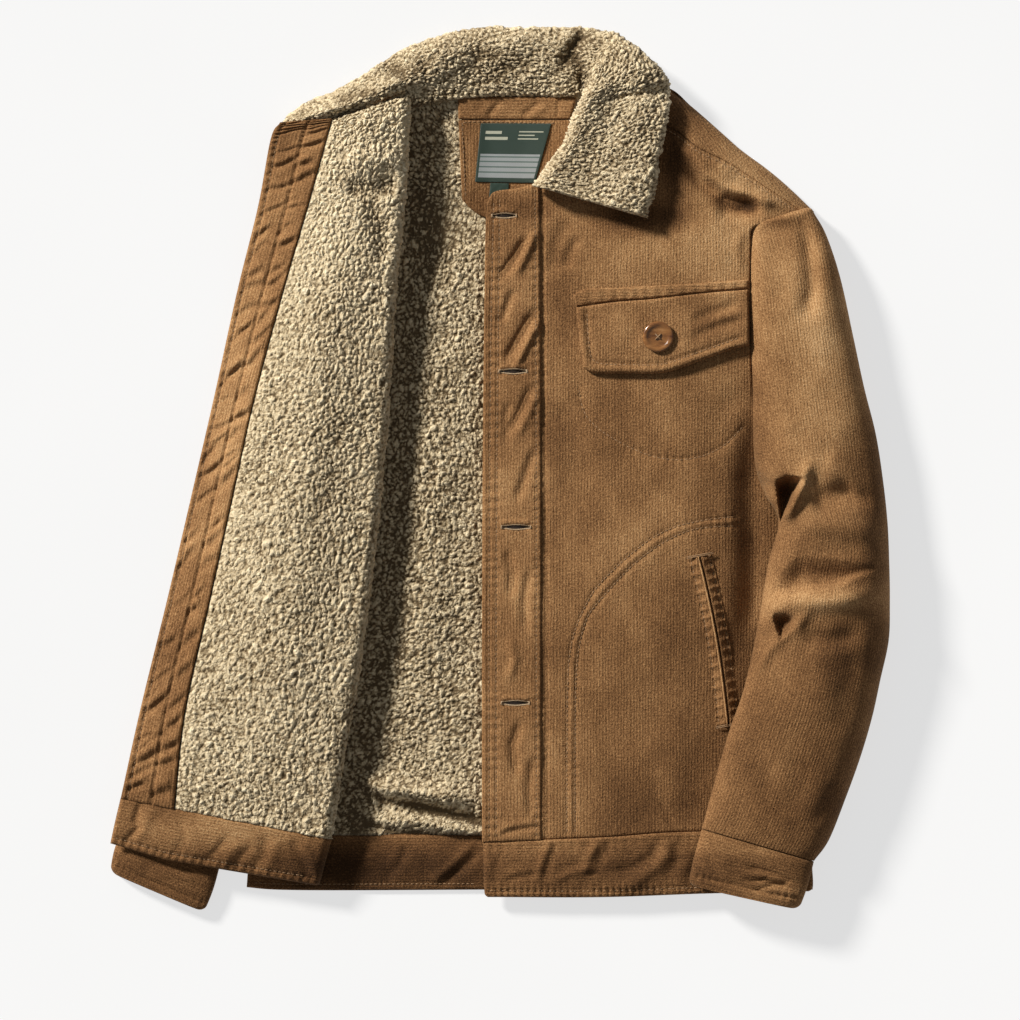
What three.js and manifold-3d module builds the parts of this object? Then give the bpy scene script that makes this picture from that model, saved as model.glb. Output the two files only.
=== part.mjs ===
// Corduroy jacket with a pile lining, laid flat on its back, in millimetres, +Z up.
// +X is the wearer's left side, +Y points to the collar. The origin is under the middle of the garment.
// The left front lies closed over the back. The right front is folded back on itself, lining up,
// over the right sleeve. The left sleeve lies over the side of the body.
import * as THREE from "three";
import { mergeVertices } from "three/addons/utils/BufferGeometryUtils.js";
import Module from "manifold-3d";

const wasm = await Module();
wasm.setup();

// Cloth thicknesses and gaps
const SEAM_GAP = 0.3;
const LAY_GAP = 0.4;
const CORDUROY = 2.4;
const BACK_SHELL = 2;
const FRONT_WALL = 8;
const PILE = 6;
const BAND = 5;
const COLLAR_WALL = 8;
const SLEEVE_WALL = 3;

// Main sizes in plan
const PLACKET_EDGE = -13;
const PLACKET_SEAM = 36;
const SIDE_SEAM = 262;
const HEM_SEAM = -313;
const HEM_EDGE = -357;

const { clamp, lerp, smoothstep } = THREE.MathUtils;

// Curves and tables

// A smooth edge through a short list of [x, y] points, measured by its own length from 0 to 1.
function edge(points) {
  const corners = points.map(([x, y]) => new THREE.Vector3(x, y, 0));
  const curve = new THREE.CatmullRomCurve3(corners, false, "centripetal");
  curve.arcLengthDivisions = 400;
  return (t) => curve.getPointAt(clamp(t, 0, 1));
}

// A smooth value through a table of rows, at the place `at` in the column `key`.
function tableValue(rows, key, at, value) {
  const last = rows.length - 1;
  if (at <= rows[0][key]) return rows[0][value];
  if (at >= rows[last][key]) return rows[last][value];
  let i = 0;
  while (rows[i + 1][key] < at) i += 1;
  const slope = (k) => {
    const before = rows[Math.max(k - 1, 0)];
    const after = rows[Math.min(k + 1, last)];
    return (after[value] - before[value]) / (after[key] - before[key]);
  };
  const span = rows[i + 1][key] - rows[i][key];
  const f = (at - rows[i][key]) / span;
  const rise = rows[i + 1][value] - rows[i][value];
  const bend = (1 - f) * (slope(i) * span - rise) + f * (rise - slope(i + 1) * span);
  return rows[i][value] + f * rise + f * (1 - f) * bend;
}

// The same through rows spaced evenly from 0 to 1, for a number or an [x, y] pair.
function rowValue(rows, value, t) {
  const numbered = (pick) => rows.map((row, i) => ({ at: i / (rows.length - 1), v: pick(row[value]) }));
  if (!Array.isArray(rows[0][value])) return tableValue(numbered((v) => v), "at", t, "v");
  return [0, 1].map((axis) => tableValue(numbered((v) => v[axis]), "at", t, "v"));
}

// Distance from a plan point to a run of straight legs, and how far along it is, from 0 to 1.
function nearest(points, x, y) {
  let best = { distance: Infinity, along: 0 };
  for (let i = 0; i < points.length - 1; i += 1) {
    const [ax, ay] = points[i];
    const [bx, by] = points[i + 1];
    const dx = bx - ax;
    const dy = by - ay;
    const f = clamp(((x - ax) * dx + (y - ay) * dy) / (dx * dx + dy * dy), 0, 1);
    const distance = Math.hypot(x - ax - f * dx, y - ay - f * dy);
    if (distance < best.distance) best = { distance, along: (i + f) / (points.length - 1) };
  }
  return best;
}

// Sum of soft troughs (depth over 0) and ridges (depth under 0), each along its own short line.
function foldDepth(folds, x, y) {
  return folds.reduce((sum, fold) => {
    const { distance, along } = nearest(fold.line, x, y);
    const fade = smoothstep(along, 0, 0.25) * (1 - smoothstep(along, 0.75, 1));
    return sum + fold.depth * fade * Math.exp(-((distance / fold.width) ** 2));
  }, 0);
}

// Heights of the cloth above the surface

const SHOULDER_LINE = [
  [60, 332], [82, 329], [144, 324], [163, 309], [186, 289], [205, 272], [228, 255], [248, 238], [268, 219],
];
const SHOULDER_ROLL = 30;
const SHOULDER_START = 200;
const SHOULDER_EDGE_HEIGHT = 5;

// Outer face of the left front: heights in rows down the body, one column for each place across it.
const FRONT_ROWS = [
  { y: -360, edge: 12, inner: 13, middle: 13, outer: 12, flank: 11, side: 10 },
  { y: -308, edge: 14, inner: 16, middle: 17, outer: 14, flank: 11.5, side: 10 },
  { y: -200, edge: 15, inner: 19, middle: 22, outer: 18, flank: 10, side: 6.5 },
  { y: -80, edge: 15, inner: 20, middle: 25, outer: 23, flank: 11, side: 6 },
  { y: 0, edge: 15, inner: 20, middle: 25, outer: 25, flank: 15, side: 8 },
  { y: 120, edge: 15, inner: 20, middle: 25, outer: 26, flank: 25, side: 24 },
  { y: 240, edge: 14, inner: 18, middle: 23, outer: 24, flank: 24, side: 22 },
  { y: 330, edge: 14, inner: 17, middle: 20, outer: 20, flank: 20, side: 18 },
];
const FRONT_PLACES = [
  { x: -13, name: "edge" },
  { x: 50, name: "inner" },
  { x: 120, name: "middle" },
  { x: 190, name: "outer" },
  { x: 230, name: "flank" },
  { x: 262, name: "side" },
];
const FRONT_FOLDS = [
  { line: [[182, 221], [207, 220], [224, 226]], depth: 5, width: 9 },
  { line: [[154, 279], [177, 262], [205, 247]], depth: -2.5, width: 8 },
  { line: [[192, 234], [216, 229], [236, 223]], depth: -2, width: 6 },
];

function frontBase(x, y) {
  const places = FRONT_PLACES.map(({ x: at, name }) => ({ at, z: tableValue(FRONT_ROWS, "y", y, name) }));
  const flat = tableValue(places, "at", x, "z");
  const { distance } = nearest(SHOULDER_LINE, x, y);
  const inside = clamp(distance / SHOULDER_ROLL, 0, 1);
  const roll = Math.sqrt(1 - (1 - inside) ** 2);
  return y > SHOULDER_START ? lerp(SHOULDER_EDGE_HEIGHT, flat, roll) : flat;
}

const frontHeight = (x, y) => frontBase(x, y) - foldDepth(FRONT_FOLDS, x, y);

// The front's wall takes a share of the height over the back shell, and the back lining fills the rest.
const WALL_SHARE = 0.6;
const LEAST_WALL = 2.2;
const WALL_BASE = BACK_SHELL + 2 * SEAM_GAP;
const frontWall = (x, y) => clamp((frontBase(x, y) - WALL_BASE) * WALL_SHARE, LEAST_WALL, FRONT_WALL);
const frontUnder = (x, y) => frontBase(x, y) - frontWall(x, y);

// Upper face of the back lining. It dips under the neck patch and rolls up above the hem.
const LINING_FOLDS = [
  { line: [[-124, -264], [-100, -268], [-60, -276], [40, -284]], depth: -6, width: 9 },
  { line: [[-110, -283], [-90, -286], [-14, -298], [30, -300]], depth: 2.5, width: 5 },
  { line: [[-62, 120], [-54, -60], [-66, -230]], depth: -2, width: 20 },
];
const NECK_DIP = 3;
const UNDER_GAP = 1.7;
const COVER_START = PLACKET_EDGE - 12;
const OPEN_END = PLACKET_EDGE - 35;

function neckDip(x, y) {
  const across = smoothstep(x, -64, -48) * (1 - smoothstep(x, 62, 76));
  return NECK_DIP * smoothstep(y, 180, 202) * across;
}

function liningHeight(x, y) {
  const under = frontUnder(Math.max(x, PLACKET_EDGE), y);
  const covered = smoothstep(x, COVER_START, PLACKET_EDGE + 8);
  const open = 1 - smoothstep(x, OPEN_END, COVER_START);
  const folds = open * foldDepth(LINING_FOLDS, x, y);
  const top = under - lerp(LAY_GAP, UNDER_GAP, covered) - folds - neckDip(x, y);
  return Math.max(top, BACK_SHELL + 2 * SEAM_GAP);
}

// Closed solids between two grids of points

function quads(rows, columns) {
  const list = [];
  for (let j = 0; j < rows; j += 1) {
    for (let i = 0; i < columns; i += 1) list.push([i, j]);
  }
  return list;
}

function geometryOf(triangles) {
  const geometry = new THREE.BufferGeometry();
  geometry.setAttribute("position", new THREE.Float32BufferAttribute(triangles.flat(2), 3));
  return geometry;
}

function signedVolume(triangles) {
  const [a, b, c] = [new THREE.Vector3(), new THREE.Vector3(), new THREE.Vector3()];
  return triangles.reduce((sum, [p, q, r]) => {
    a.fromArray(p);
    b.fromArray(q);
    c.fromArray(r);
    return sum + a.dot(b.cross(c)) / 6;
  }, 0);
}

function facingOut(triangles) {
  const turned = signedVolume(triangles) < 0;
  return geometryOf(turned ? triangles.map(([a, b, c]) => [a, c, b]) : triangles);
}

// The wall between an upper grid and a lower grid with as many rows and columns.
function between(upper, lower) {
  const rows = upper.length - 1;
  const columns = upper[0].length - 1;
  const triangles = [];
  const quad = (a, b, c, d) => triangles.push([a, b, c], [a, c, d]);
  quads(rows, columns).forEach(([i, j]) => {
    quad(upper[j][i], upper[j][i + 1], upper[j + 1][i + 1], upper[j + 1][i]);
    quad(lower[j][i], lower[j + 1][i], lower[j + 1][i + 1], lower[j][i + 1]);
  });
  for (let i = 0; i < columns; i += 1) {
    quad(lower[0][i], lower[0][i + 1], upper[0][i + 1], upper[0][i]);
    quad(upper[rows][i], upper[rows][i + 1], lower[rows][i + 1], lower[rows][i]);
  }
  for (let j = 0; j < rows; j += 1) {
    quad(upper[j][0], upper[j + 1][0], lower[j + 1][0], lower[j][0]);
    quad(lower[j][columns], lower[j + 1][columns], upper[j + 1][columns], upper[j][columns]);
  }
  return facingOut(triangles);
}

// A grid of [x, y, z] points from a function of u (across) and v (up).
function gridOf(columns, rows, point) {
  return Array.from({ length: rows + 1 }, (_, j) =>
    Array.from({ length: columns + 1 }, (_, i) => point(i / columns, j / rows)),
  );
}

// Plan points inside four edges: bottom and top run left to right, left and right run upwards.
function patch({ bottom, top, left, right }) {
  return (u, v) => {
    const [b, t, l, r] = [bottom(u), top(u), left(v), right(v)];
    const corner = (key) =>
      (1 - u) * (1 - v) * bottom(0)[key] +
      u * (1 - v) * bottom(1)[key] +
      (1 - u) * v * top(0)[key] +
      u * v * top(1)[key];
    const at = (key) => (1 - v) * b[key] + v * t[key] + (1 - u) * l[key] + u * r[key] - corner(key);
    return [at("x"), at("y")];
  };
}

// A panel over a plan, with an upper and a lower height for each plan point.
function panel(plan, columns, rows, upperZ, lowerZ) {
  const at = (height) => (u, v) => {
    const [x, y] = plan(u, v);
    return [x, y, height(x, y, u, v)];
  };
  return between(gridOf(columns, rows, at(upperZ)), gridOf(columns, rows, at(lowerZ)));
}

// A closed solid through rings of points, with a fan over each end.
function ringSolid(rings) {
  const count = rings[0].length;
  const middle = (ring) => [0, 1, 2].map((axis) => ring.reduce((sum, p) => sum + p[axis], 0) / count);
  const triangles = [];
  for (let j = 0; j < rings.length - 1; j += 1) {
    for (let i = 0; i < count; i += 1) {
      const k = (i + 1) % count;
      triangles.push([rings[j][i], rings[j][k], rings[j + 1][k]]);
      triangles.push([rings[j][i], rings[j + 1][k], rings[j + 1][i]]);
    }
  }
  const last = rings[rings.length - 1];
  for (let i = 0; i < count; i += 1) {
    const k = (i + 1) % count;
    triangles.push([middle(rings[0]), rings[0][k], rings[0][i]]);
    triangles.push([middle(last), last[i], last[k]]);
  }
  return facingOut(triangles);
}

function toManifold(geometry) {
  const bare = new THREE.BufferGeometry();
  const flat = geometry.index ? geometry.toNonIndexed() : geometry;
  bare.setAttribute("position", flat.getAttribute("position"));
  const merged = mergeVertices(bare, 1e-4);
  const mesh = new wasm.Mesh({
    numProp: 3,
    vertProperties: merged.attributes.position.array,
    triVerts: new Uint32Array(merged.index.array),
  });
  return new wasm.Manifold(mesh);
}

function fromManifold(solid) {
  const mesh = solid.getMesh();
  const geometry = new THREE.BufferGeometry();
  geometry.setAttribute("position", new THREE.BufferAttribute(mesh.vertProperties, 3));
  geometry.setIndex(new THREE.BufferAttribute(mesh.triVerts, 1));
  return geometry;
}

function cutOut(body, tool) {
  return fromManifold(toManifold(body).subtract(toManifold(tool)));
}

// Materials

function cloth(color, roughness) {
  return () => new THREE.MeshStandardMaterial({ color, roughness, metalness: 0 });
}
const corduroy = cloth(0x9a6a3a, 0.9);
const pile = cloth(0xb7a07a, 0.95);
const woven = cloth(0x1f3a2c, 0.7);
const horn = cloth(0x6b3a1c, 0.3);

const jacket = new THREE.Group();
function add(name, geometry, material) {
  const mesh = new THREE.Mesh(geometry, material());
  mesh.name = name;
  jacket.add(mesh);
  return mesh;
}

// Back: shell, lining and hem band

const BACK_LEFT = [
  [-211, -312], [-186, -215], [-158, -130], [-139, -60], [-124, 30], [-112, 120], [-104, 190], [-100, 240],
];
const BACK_RIGHT = [
  [264, -307], [264, -190], [262, -70], [236, -48], [218, -8], [212, 60], [209, 120], [207, 170],
];
const BACK_SHOULDER = [
  [207, 170], [207, 210], [230, 222], [249, 226], [242, 236], [204, 268], [162, 305], [143, 320],
];
const BACK_TOP = [
  [-158, 272], [-120, 280], [-84, 293], [-52, 309], [-34, 316],
  [10, 316.5], [66, 316], [90, 322], [143, 320],
];

// The back's upper part is a patch from the armholes up, and its lower part one from the hem up.
const ARMHOLE_ROW = [[-100, 240], [60, 205], [207, 170]];
const backLower = patch({
  bottom: edge([[-211, -312], [30, -312], [264, -307]]),
  top: edge(ARMHOLE_ROW),
  left: edge(BACK_LEFT),
  right: edge(BACK_RIGHT),
});
const backUpper = patch({
  bottom: edge(ARMHOLE_ROW),
  top: edge(BACK_TOP),
  left: edge([[-100, 240], [-150, 256], [-158, 272]]),
  right: edge(BACK_SHOULDER),
});

const UPPER_ROWS = 9;
function wholeBack(lowerZ, upperZ, columns, rows, inset) {
  const shrink = (plan) => (u, v) => plan(lerp(inset, 1 - inset, u), v);
  const lower = panel(shrink(backLower), columns, rows, upperZ, lowerZ);
  const upper = panel(shrink(backUpper), columns, UPPER_ROWS, upperZ, lowerZ);
  return fromManifold(toManifold(lower).add(toManifold(upper)));
}

add("back_shell", wholeBack(() => 0, () => BACK_SHELL, 6, 9, 0), corduroy);
add("back_lining", wholeBack(() => BACK_SHELL + SEAM_GAP, liningHeight, 13, 22, 0.035), pile);

const backHemPlan = patch({
  bottom: edge([[-214, HEM_EDGE + 2], [-192, HEM_EDGE], [20, HEM_EDGE], [267, HEM_EDGE]]),
  top: edge([[-211, HEM_SEAM], [30, HEM_SEAM], [266, HEM_SEAM + 5]]),
  left: edge([[-214, HEM_EDGE + 2], [-211, HEM_SEAM]]),
  right: edge([[267, HEM_EDGE], [266, HEM_SEAM + 5]]),
});
const BACK_HEM_CROWN = 1.4;
const backHemHeight = (x, y, u, v) => BAND - BACK_HEM_CROWN * (2 * v - 1) ** 2;
add("back_hem_band", panel(backHemPlan, 12, 4, backHemHeight, () => 0), corduroy);

// Left front with its yoke, placket and hem band

const SHOULDER_SEAM = [
  [100, 297.5], [124, 293.5], [147, 289], [170, 272], [191, 262],
  [212, 249], [227, 239], [247, 227], [258, 222.5],
];
const FRONT_NECK = [[-10, 225], [-7, 232], [-1, 235], [31, 241], [46, 252], [62, 276], [78, 301]];
const FRONT_TOP = [...FRONT_NECK, ...SHOULDER_SEAM];
const FRONT_BOTTOM = [
  [-13, -316.5], [37, -314.5], [102, -311.5],
  [139, -308.5], [170, -307.5], [263, -304.5],
];
const ARMHOLE = [
  [238, -50], [226, -25], [216, 1], [213, 34],
  [210.5, 77], [208.5, 120], [208, 159], [211, 203],
];
const FRONT_RIGHT = [
  [263, -304.5], [264, -190],
  [260, -66], ...ARMHOLE, [218, 212], [240, 220], [258, 222.5],
];
const frontPlan = patch({
  bottom: edge(FRONT_BOTTOM),
  top: edge(FRONT_TOP),
  left: edge([[-13, -316.5], [-13, -111], [-12, 59], [-11, 144], [-10, 225]]),
  right: edge(FRONT_RIGHT),
});
add("left_front", panel(frontPlan, 17, 26, frontHeight, frontUnder), corduroy);

const YOKE_GAP = 1.2;
const yokePlan = patch({
  bottom: edge([[80.5, 301.5], ...SHOULDER_SEAM, [263, 221]].map(([x, y]) => [x, y + YOKE_GAP])),
  top: edge([
    [82, 329], [144, 324], [163, 309], [186, 289],
    [205, 272], [228, 255], [248, 238], [267, 222.8],
  ]),
  left: edge([[80.5, 302.7], [82, 329]]),
  right: edge([[263, 222.2], [267, 222.8]]),
});
const yokeUnder = (x, y) => Math.max(frontUnder(x, y), BACK_SHELL + SEAM_GAP);
add("left_shoulder_yoke", panel(yokePlan, 14, 5, frontHeight, yokeUnder), corduroy);

// A thin piece on the outside of the left front.
function onFront(plan, columns, rows, thickness, lift = LAY_GAP) {
  const upper = (x, y) => frontHeight(x, y) + lift + thickness;
  return panel(plan, columns, rows, upper, (x, y) => frontHeight(x, y) + lift);
}

const PLACKET_CLOTH = 2;
const placketPlan = patch({
  bottom: edge([[-14, -316.5], [PLACKET_SEAM, -314.5]]),
  top: edge([[-9, 227], [-5, 234.5], [17, 238.5], [PLACKET_SEAM - 1, 243]]),
  left: edge([[-14, -316.5], [-14, -111], [-13, 59], [-12, 144], [-10.5, 215], [-9, 227]]),
  right: edge([[PLACKET_SEAM, -314.5], [PLACKET_SEAM, 0], [PLACKET_SEAM - 1, 243]]),
});
add("left_placket", onFront(placketPlan, 3, 26, PLACKET_CLOTH), corduroy);

const leftHemPlan = patch({
  bottom: edge([[-12, -363], [89, -363], [176, -360], [267, -358]]),
  top: edge(FRONT_BOTTOM.map(([x, y]) => [x, y - 2 * SEAM_GAP])),
  left: edge([[-12, -363], [-13, -317.1]]),
  right: edge([[267, -358], [263, -305.1]]),
});
const HEM_CROWN = 2;
const leftHemHeight = (x, y, u, v) => frontHeight(x, y) + HEM_CROWN - 2 * HEM_CROWN * (v - 0.55) ** 2;
const leftHemUnder = (x, y) => Math.max(frontHeight(x, y) - BAND, BAND + LAY_GAP);
add("left_hem_band", panel(leftHemPlan, 18, 4, leftHemHeight, leftHemUnder), corduroy);

// Chest pocket

const FLAP_CLOTH = 3;
const WELT_CLOTH = 1.6;
const weltPlan = patch({
  bottom: edge([[66, 138], [99, 142.5], [131, 145], [175, 150], [205, 152.5]]),
  top: edge([[63, 147], [71, 152], [105, 154], [153, 156.5], [206, 160]]),
  left: edge([[66, 138], [63, 147]]),
  right: edge([[205, 152.5], [206, 160]]),
});
add("chest_pocket_welt", onFront(weltPlan, 12, 2, WELT_CLOTH), corduroy);

const flapPlan = patch({
  bottom: edge([[72, 86], [78, 82], [110, 81], [140, 81.5], [175, 93], [197, 101], [205, 103]]),
  top: edge([[66, 137], [99, 141.5], [131, 144], [175, 149], [205, 151.5]]),
  left: edge([[72, 86], [68, 112], [66, 137]]),
  right: edge([[205, 103], [206, 128], [205, 151.5]]),
});
add("chest_pocket_flap", onFront(flapPlan, 14, 6, FLAP_CLOTH), corduroy);

// A round button with a raised rim and four thread holes.
const BUTTON_RADIUS = 13;
const BUTTON_HEIGHT = 4;
const HOLE_RADIUS = 1.3;
const HOLE_SPREAD = 2.6;
function buttonGeometry(sides, holes) {
  const profile = [
    [0, 0], [BUTTON_RADIUS - 2, 0], [BUTTON_RADIUS, 1.4], [BUTTON_RADIUS, 3],
    [BUTTON_RADIUS - 1.4, BUTTON_HEIGHT], [BUTTON_RADIUS - 3, BUTTON_HEIGHT],
    [BUTTON_RADIUS - 5, 2.6], [0, 2.4],
  ].map(([r, z]) => new THREE.Vector2(r, z));
  const disc = new THREE.LatheGeometry(profile, sides).rotateX(Math.PI / 2);
  let solid = toManifold(disc);
  if (solid.volume() < 0) throw new Error("the button's profile is inside out");
  for (const [sx, sy] of holes ? [[1, 1], [-1, 1], [-1, -1], [1, -1]] : []) {
    const drill = new THREE.CylinderGeometry(HOLE_RADIUS, HOLE_RADIUS, 3 * BUTTON_HEIGHT, 6);
    drill.rotateX(Math.PI / 2).translate(sx * HOLE_SPREAD, sy * HOLE_SPREAD, 0);
    solid = solid.subtract(toManifold(drill));
  }
  return fromManifold(solid);
}

const CHEST_BUTTON = { x: 135, y: 112 };
const chestButton = add("chest_pocket_button", buttonGeometry(24, true), horn);
const chestButtonSeat = frontHeight(CHEST_BUTTON.x, CHEST_BUTTON.y) + LAY_GAP + FLAP_CLOTH + SEAM_GAP;
chestButton.position.set(CHEST_BUTTON.x, CHEST_BUTTON.y, chestButtonSeat);

// Slanted side pocket: two lips beside the slit

const SLIT_TOP = [170, -73];
const SLIT_END = [195, -217];
const LIP_WIDTH = 10;
const LIP_CLOTH = 1.8;
const SLIT_BOW = 3;
function lipPlan(side) {
  const length = Math.hypot(SLIT_END[0] - SLIT_TOP[0], SLIT_END[1] - SLIT_TOP[1]);
  const across = [(SLIT_TOP[1] - SLIT_END[1]) / length, (SLIT_END[0] - SLIT_TOP[0]) / length];
  return (u, v) => {
    const reach = side * (SEAM_GAP + u * LIP_WIDTH);
    const bow = SLIT_BOW * Math.sin(Math.PI * v);
    return [0, 1].map((axis) => lerp(SLIT_END[axis], SLIT_TOP[axis], v) + across[axis] * (reach + bow));
  };
}
add("side_pocket_lip_front", onFront(lipPlan(-1), 3, 14, LIP_CLOTH), corduroy);
add("side_pocket_lip_back", onFront(lipPlan(1), 3, 14, LIP_CLOTH), corduroy);

// Tubes: sleeves and cuffs from stations with an inner edge, an outer edge and a top height

// Rings of a flattened tube. Its underside follows `floor`, and `shrink` moves every wall inwards.
const WIDEST_SHARE = 0.4;
const WIDEST_RISE = 11;
function tubeRings(stations, count, around, floor, surface, shrink, from = 0, to = 1) {
  return Array.from({ length: count + 1 }, (_, j) => {
    const t = lerp(from, to, j / count);
    const inner = rowValue(stations, "inner", t);
    const outer = rowValue(stations, "outer", t);
    const top = rowValue(stations, "top", t);
    const square = rowValue(stations, "square", t);
    const width = Math.hypot(outer[0] - inner[0], outer[1] - inner[1]);
    const reach = 1 - (2 * shrink) / width;
    return Array.from({ length: around }, (_, i) => {
      const angle = (2 * Math.PI * i) / around;
      const c = Math.cos(angle);
      const s = Math.sin(angle);
      const across = Math.sign(c) * Math.abs(c) ** (2 / square);
      const up = Math.sign(s) * Math.abs(s) ** (2 / square);
      const x = (inner[0] + outer[0]) / 2 + (reach * across * (outer[0] - inner[0])) / 2;
      const y = (inner[1] + outer[1]) / 2 + (reach * across * (outer[1] - inner[1])) / 2;
      const base = floor(x, y);
      const side = base + Math.min(WIDEST_RISE, WIDEST_SHARE * (top - base));
      if (up > 0) return [x, y, side + (top - side - shrink - surface(x, y)) * up];
      return [x, y, side - (side - base - shrink) * Math.sqrt(-up)];
    });
  });
}

const SLEEVE_STATIONS = [
  { inner: [243, 218], outer: [268, 216.5], top: 23, square: 3 },
  { inner: [216, 205], outer: [279, 199], top: 30, square: 3 },
  { inner: [211.5, 172], outer: [290, 162], top: 37, square: 2.8 },
  { inner: [211.5, 120], outer: [301, 112], top: 40, square: 2.7 },
  { inner: [213.5, 77], outer: [310, 70], top: 42, square: 2.6 },
  { inner: [216.5, 34], outer: [320, 30], top: 44, square: 2.5 },
  { inner: [221, 1], outer: [326, -8], top: 46, square: 2.4 },
  { inner: [231, -23], outer: [330, -45], top: 48, square: 2.3 },
  { inner: [234, -48], outer: [331.5, -80], top: 50, square: 2.3 },
  { inner: [229, -80], outer: [332, -112], top: 51, square: 2.3 },
  { inner: [221, -113], outer: [331, -145], top: 51, square: 2.3 },
  { inner: [216, -150], outer: [324, -178], top: 50, square: 2.3 },
  { inner: [207, -188], outer: [317, -210], top: 49, square: 2.3 },
  { inner: [196, -219], outer: [307, -244], top: 47, square: 2.3 },
  { inner: [186, -253], outer: [294, -280], top: 45, square: 2.3 },
  { inner: [177, -286], outer: [280, -314], top: 43, square: 2.3 },
  { inner: [172.3, -304], outer: [267.2, -331.5], top: 40, square: 2.4 },
];
const CUFF_STATIONS = [
  { inner: [172, -304.6], outer: [267, -332.2], top: 39, square: 2.5 },
  { inner: [165, -330], outer: [262, -352], top: 38, square: 2.8 },
  { inner: [160.5, -352], outer: [254.5, -373], top: 35, square: 2.8 },
];
const SLEEVE_FOLDS = [
  { line: [[242, -90], [258, -76], [290, -69], [311, -70]], depth: 9, width: 10 },
  { line: [[246, -2], [241, -20], [238, -38]], depth: 12, width: 7 },
  { line: [[262, -28], [283, -24], [303, -14]], depth: 5, width: 11 },
  { line: [[228, -106], [262, -105], [312, -104]], depth: -3, width: 10 },
  { line: [[230, -124], [240, -132], [252, -126]], depth: 4, width: 7 },
  { line: [[214, 196], [240, 208], [262, 212]], depth: 4, width: 8 },
  { line: [[258, -11], [248, -28], [240, -44]], depth: -5, width: 6 },
];
const SLEEVE_CLEAR = 1;
const BAND_CLEAR = HEM_CROWN + 1;
const SIDE_SLOPE_END = 292;

// The surface that the left sleeve lies on: the body's side, sloping down to the ground outside it.
function sleeveFloor(x, y) {
  const onBody = 1 - smoothstep(y, -36, -4);
  const onBand = 1 - smoothstep(y, -300, -280);
  const side = frontBase(Math.min(x, SIDE_SEAM), y) + lerp(SLEEVE_CLEAR, BAND_CLEAR, onBand);
  const beyond = clamp((x - SIDE_SEAM - 4) / (SIDE_SLOPE_END - SIDE_SEAM), 0, 1);
  return side * onBody * (1 - beyond);
}
const cuffFloor = (x, y) => frontBase(Math.min(x, SIDE_SEAM), Math.max(y, HEM_EDGE)) + BAND_CLEAR;

const AROUND = 20;
const AROUND_HOLLOW = 12;
const HOLLOW_STEP = 1.8;
const OVERRUN = 0.4;
const TROUGH_INSIDE = 1.5;
const RIDGE_INSIDE = 0.6;
const smooth = () => 0;

// A station past an open end, in line with the two last ones.
function beyond(end, before) {
  const moved = (key) => end[key].map((value, axis) => value + OVERRUN * (value - before[key][axis]));
  return { ...end, inner: moved("inner"), outer: moved("outer") };
}

// A hollow tube with a flat lower side: its outer solid less an inner one that runs past each open end.
function tube({ stations, rows, floor, surface, closedTop }) {
  const last = stations.length - 1;
  const bottomEnd = beyond(stations[last], stations[last - 1]);
  const hollow = closedTop ? stations.slice(2) : [beyond(stations[0], stations[1]), ...stations];
  const outside = ringSolid(tubeRings(stations, rows, AROUND, floor, surface, 0));
  const innerRows = Math.max(4, Math.round(rows / HOLLOW_STEP));
  const deeper = (x, y) => {
    const depth = surface(x, y);
    return depth * (depth > 0 ? TROUGH_INSIDE : RIDGE_INSIDE);
  };
  const innerStations = [...hollow, bottomEnd];
  const inside = ringSolid(tubeRings(innerStations, innerRows, AROUND_HOLLOW, floor, deeper, SLEEVE_WALL));
  return cutOut(outside, inside);
}

const sleeveSurface = (x, y) => foldDepth(SLEEVE_FOLDS, x, y);
const leftSleeve = { stations: SLEEVE_STATIONS, rows: 44, floor: sleeveFloor, surface: sleeveSurface };
add("left_sleeve", tube({ ...leftSleeve, closedTop: true }), corduroy);
const leftCuff = { stations: CUFF_STATIONS, rows: 4, floor: cuffFloor, surface: smooth };
add("left_cuff", tube(leftCuff), corduroy);

// Right sleeve and cuff, flat on the ground under the folded right front

const ground = () => 0;
const RIGHT_SLEEVE_STATIONS = [
  { inner: [-166, 240], outer: [-114, 231], top: 12, square: 2.4 },
  { inner: [-178, 192], outer: [-118, 186], top: 15, square: 2.4 },
  { inner: [-195, 122], outer: [-126, 116], top: 17, square: 2.4 },
  { inner: [-212, 35], outer: [-136, 24], top: 18, square: 2.4 },
  { inner: [-229, -52], outer: [-149, -68], top: 18, square: 2.4 },
  { inner: [-252, -137], outer: [-171, -156], top: 17.5, square: 2.4 },
  { inner: [-277, -205], outer: [-198, -234], top: 16, square: 2.4 },
  { inner: [-302, -262], outer: [-222, -296], top: 14.5, square: 2.6 },
  { inner: [-316, -297], outer: [-235, -331], top: 13.5, square: 2.8 },
];
const RIGHT_CUFF_STATIONS = [
  { inner: [-316.4, -297.6], outer: [-235.4, -331.6], top: 14, square: 2.9 },
  { inner: [-326, -322], outer: [-242, -356], top: 14, square: 3 },
  { inner: [-330, -342], outer: [-250, -376], top: 13, square: 3 },
];
const rightSleeve = { stations: RIGHT_SLEEVE_STATIONS, rows: 14, floor: ground, surface: smooth };
add("right_sleeve", tube({ ...rightSleeve, closedTop: true }), corduroy);
const rightCuff = { stations: RIGHT_CUFF_STATIONS, rows: 4, floor: ground, surface: smooth };
add("right_cuff", tube(rightCuff), corduroy);

// Right front, folded back on itself: facing and lining on top, the corduroy front under them

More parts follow.
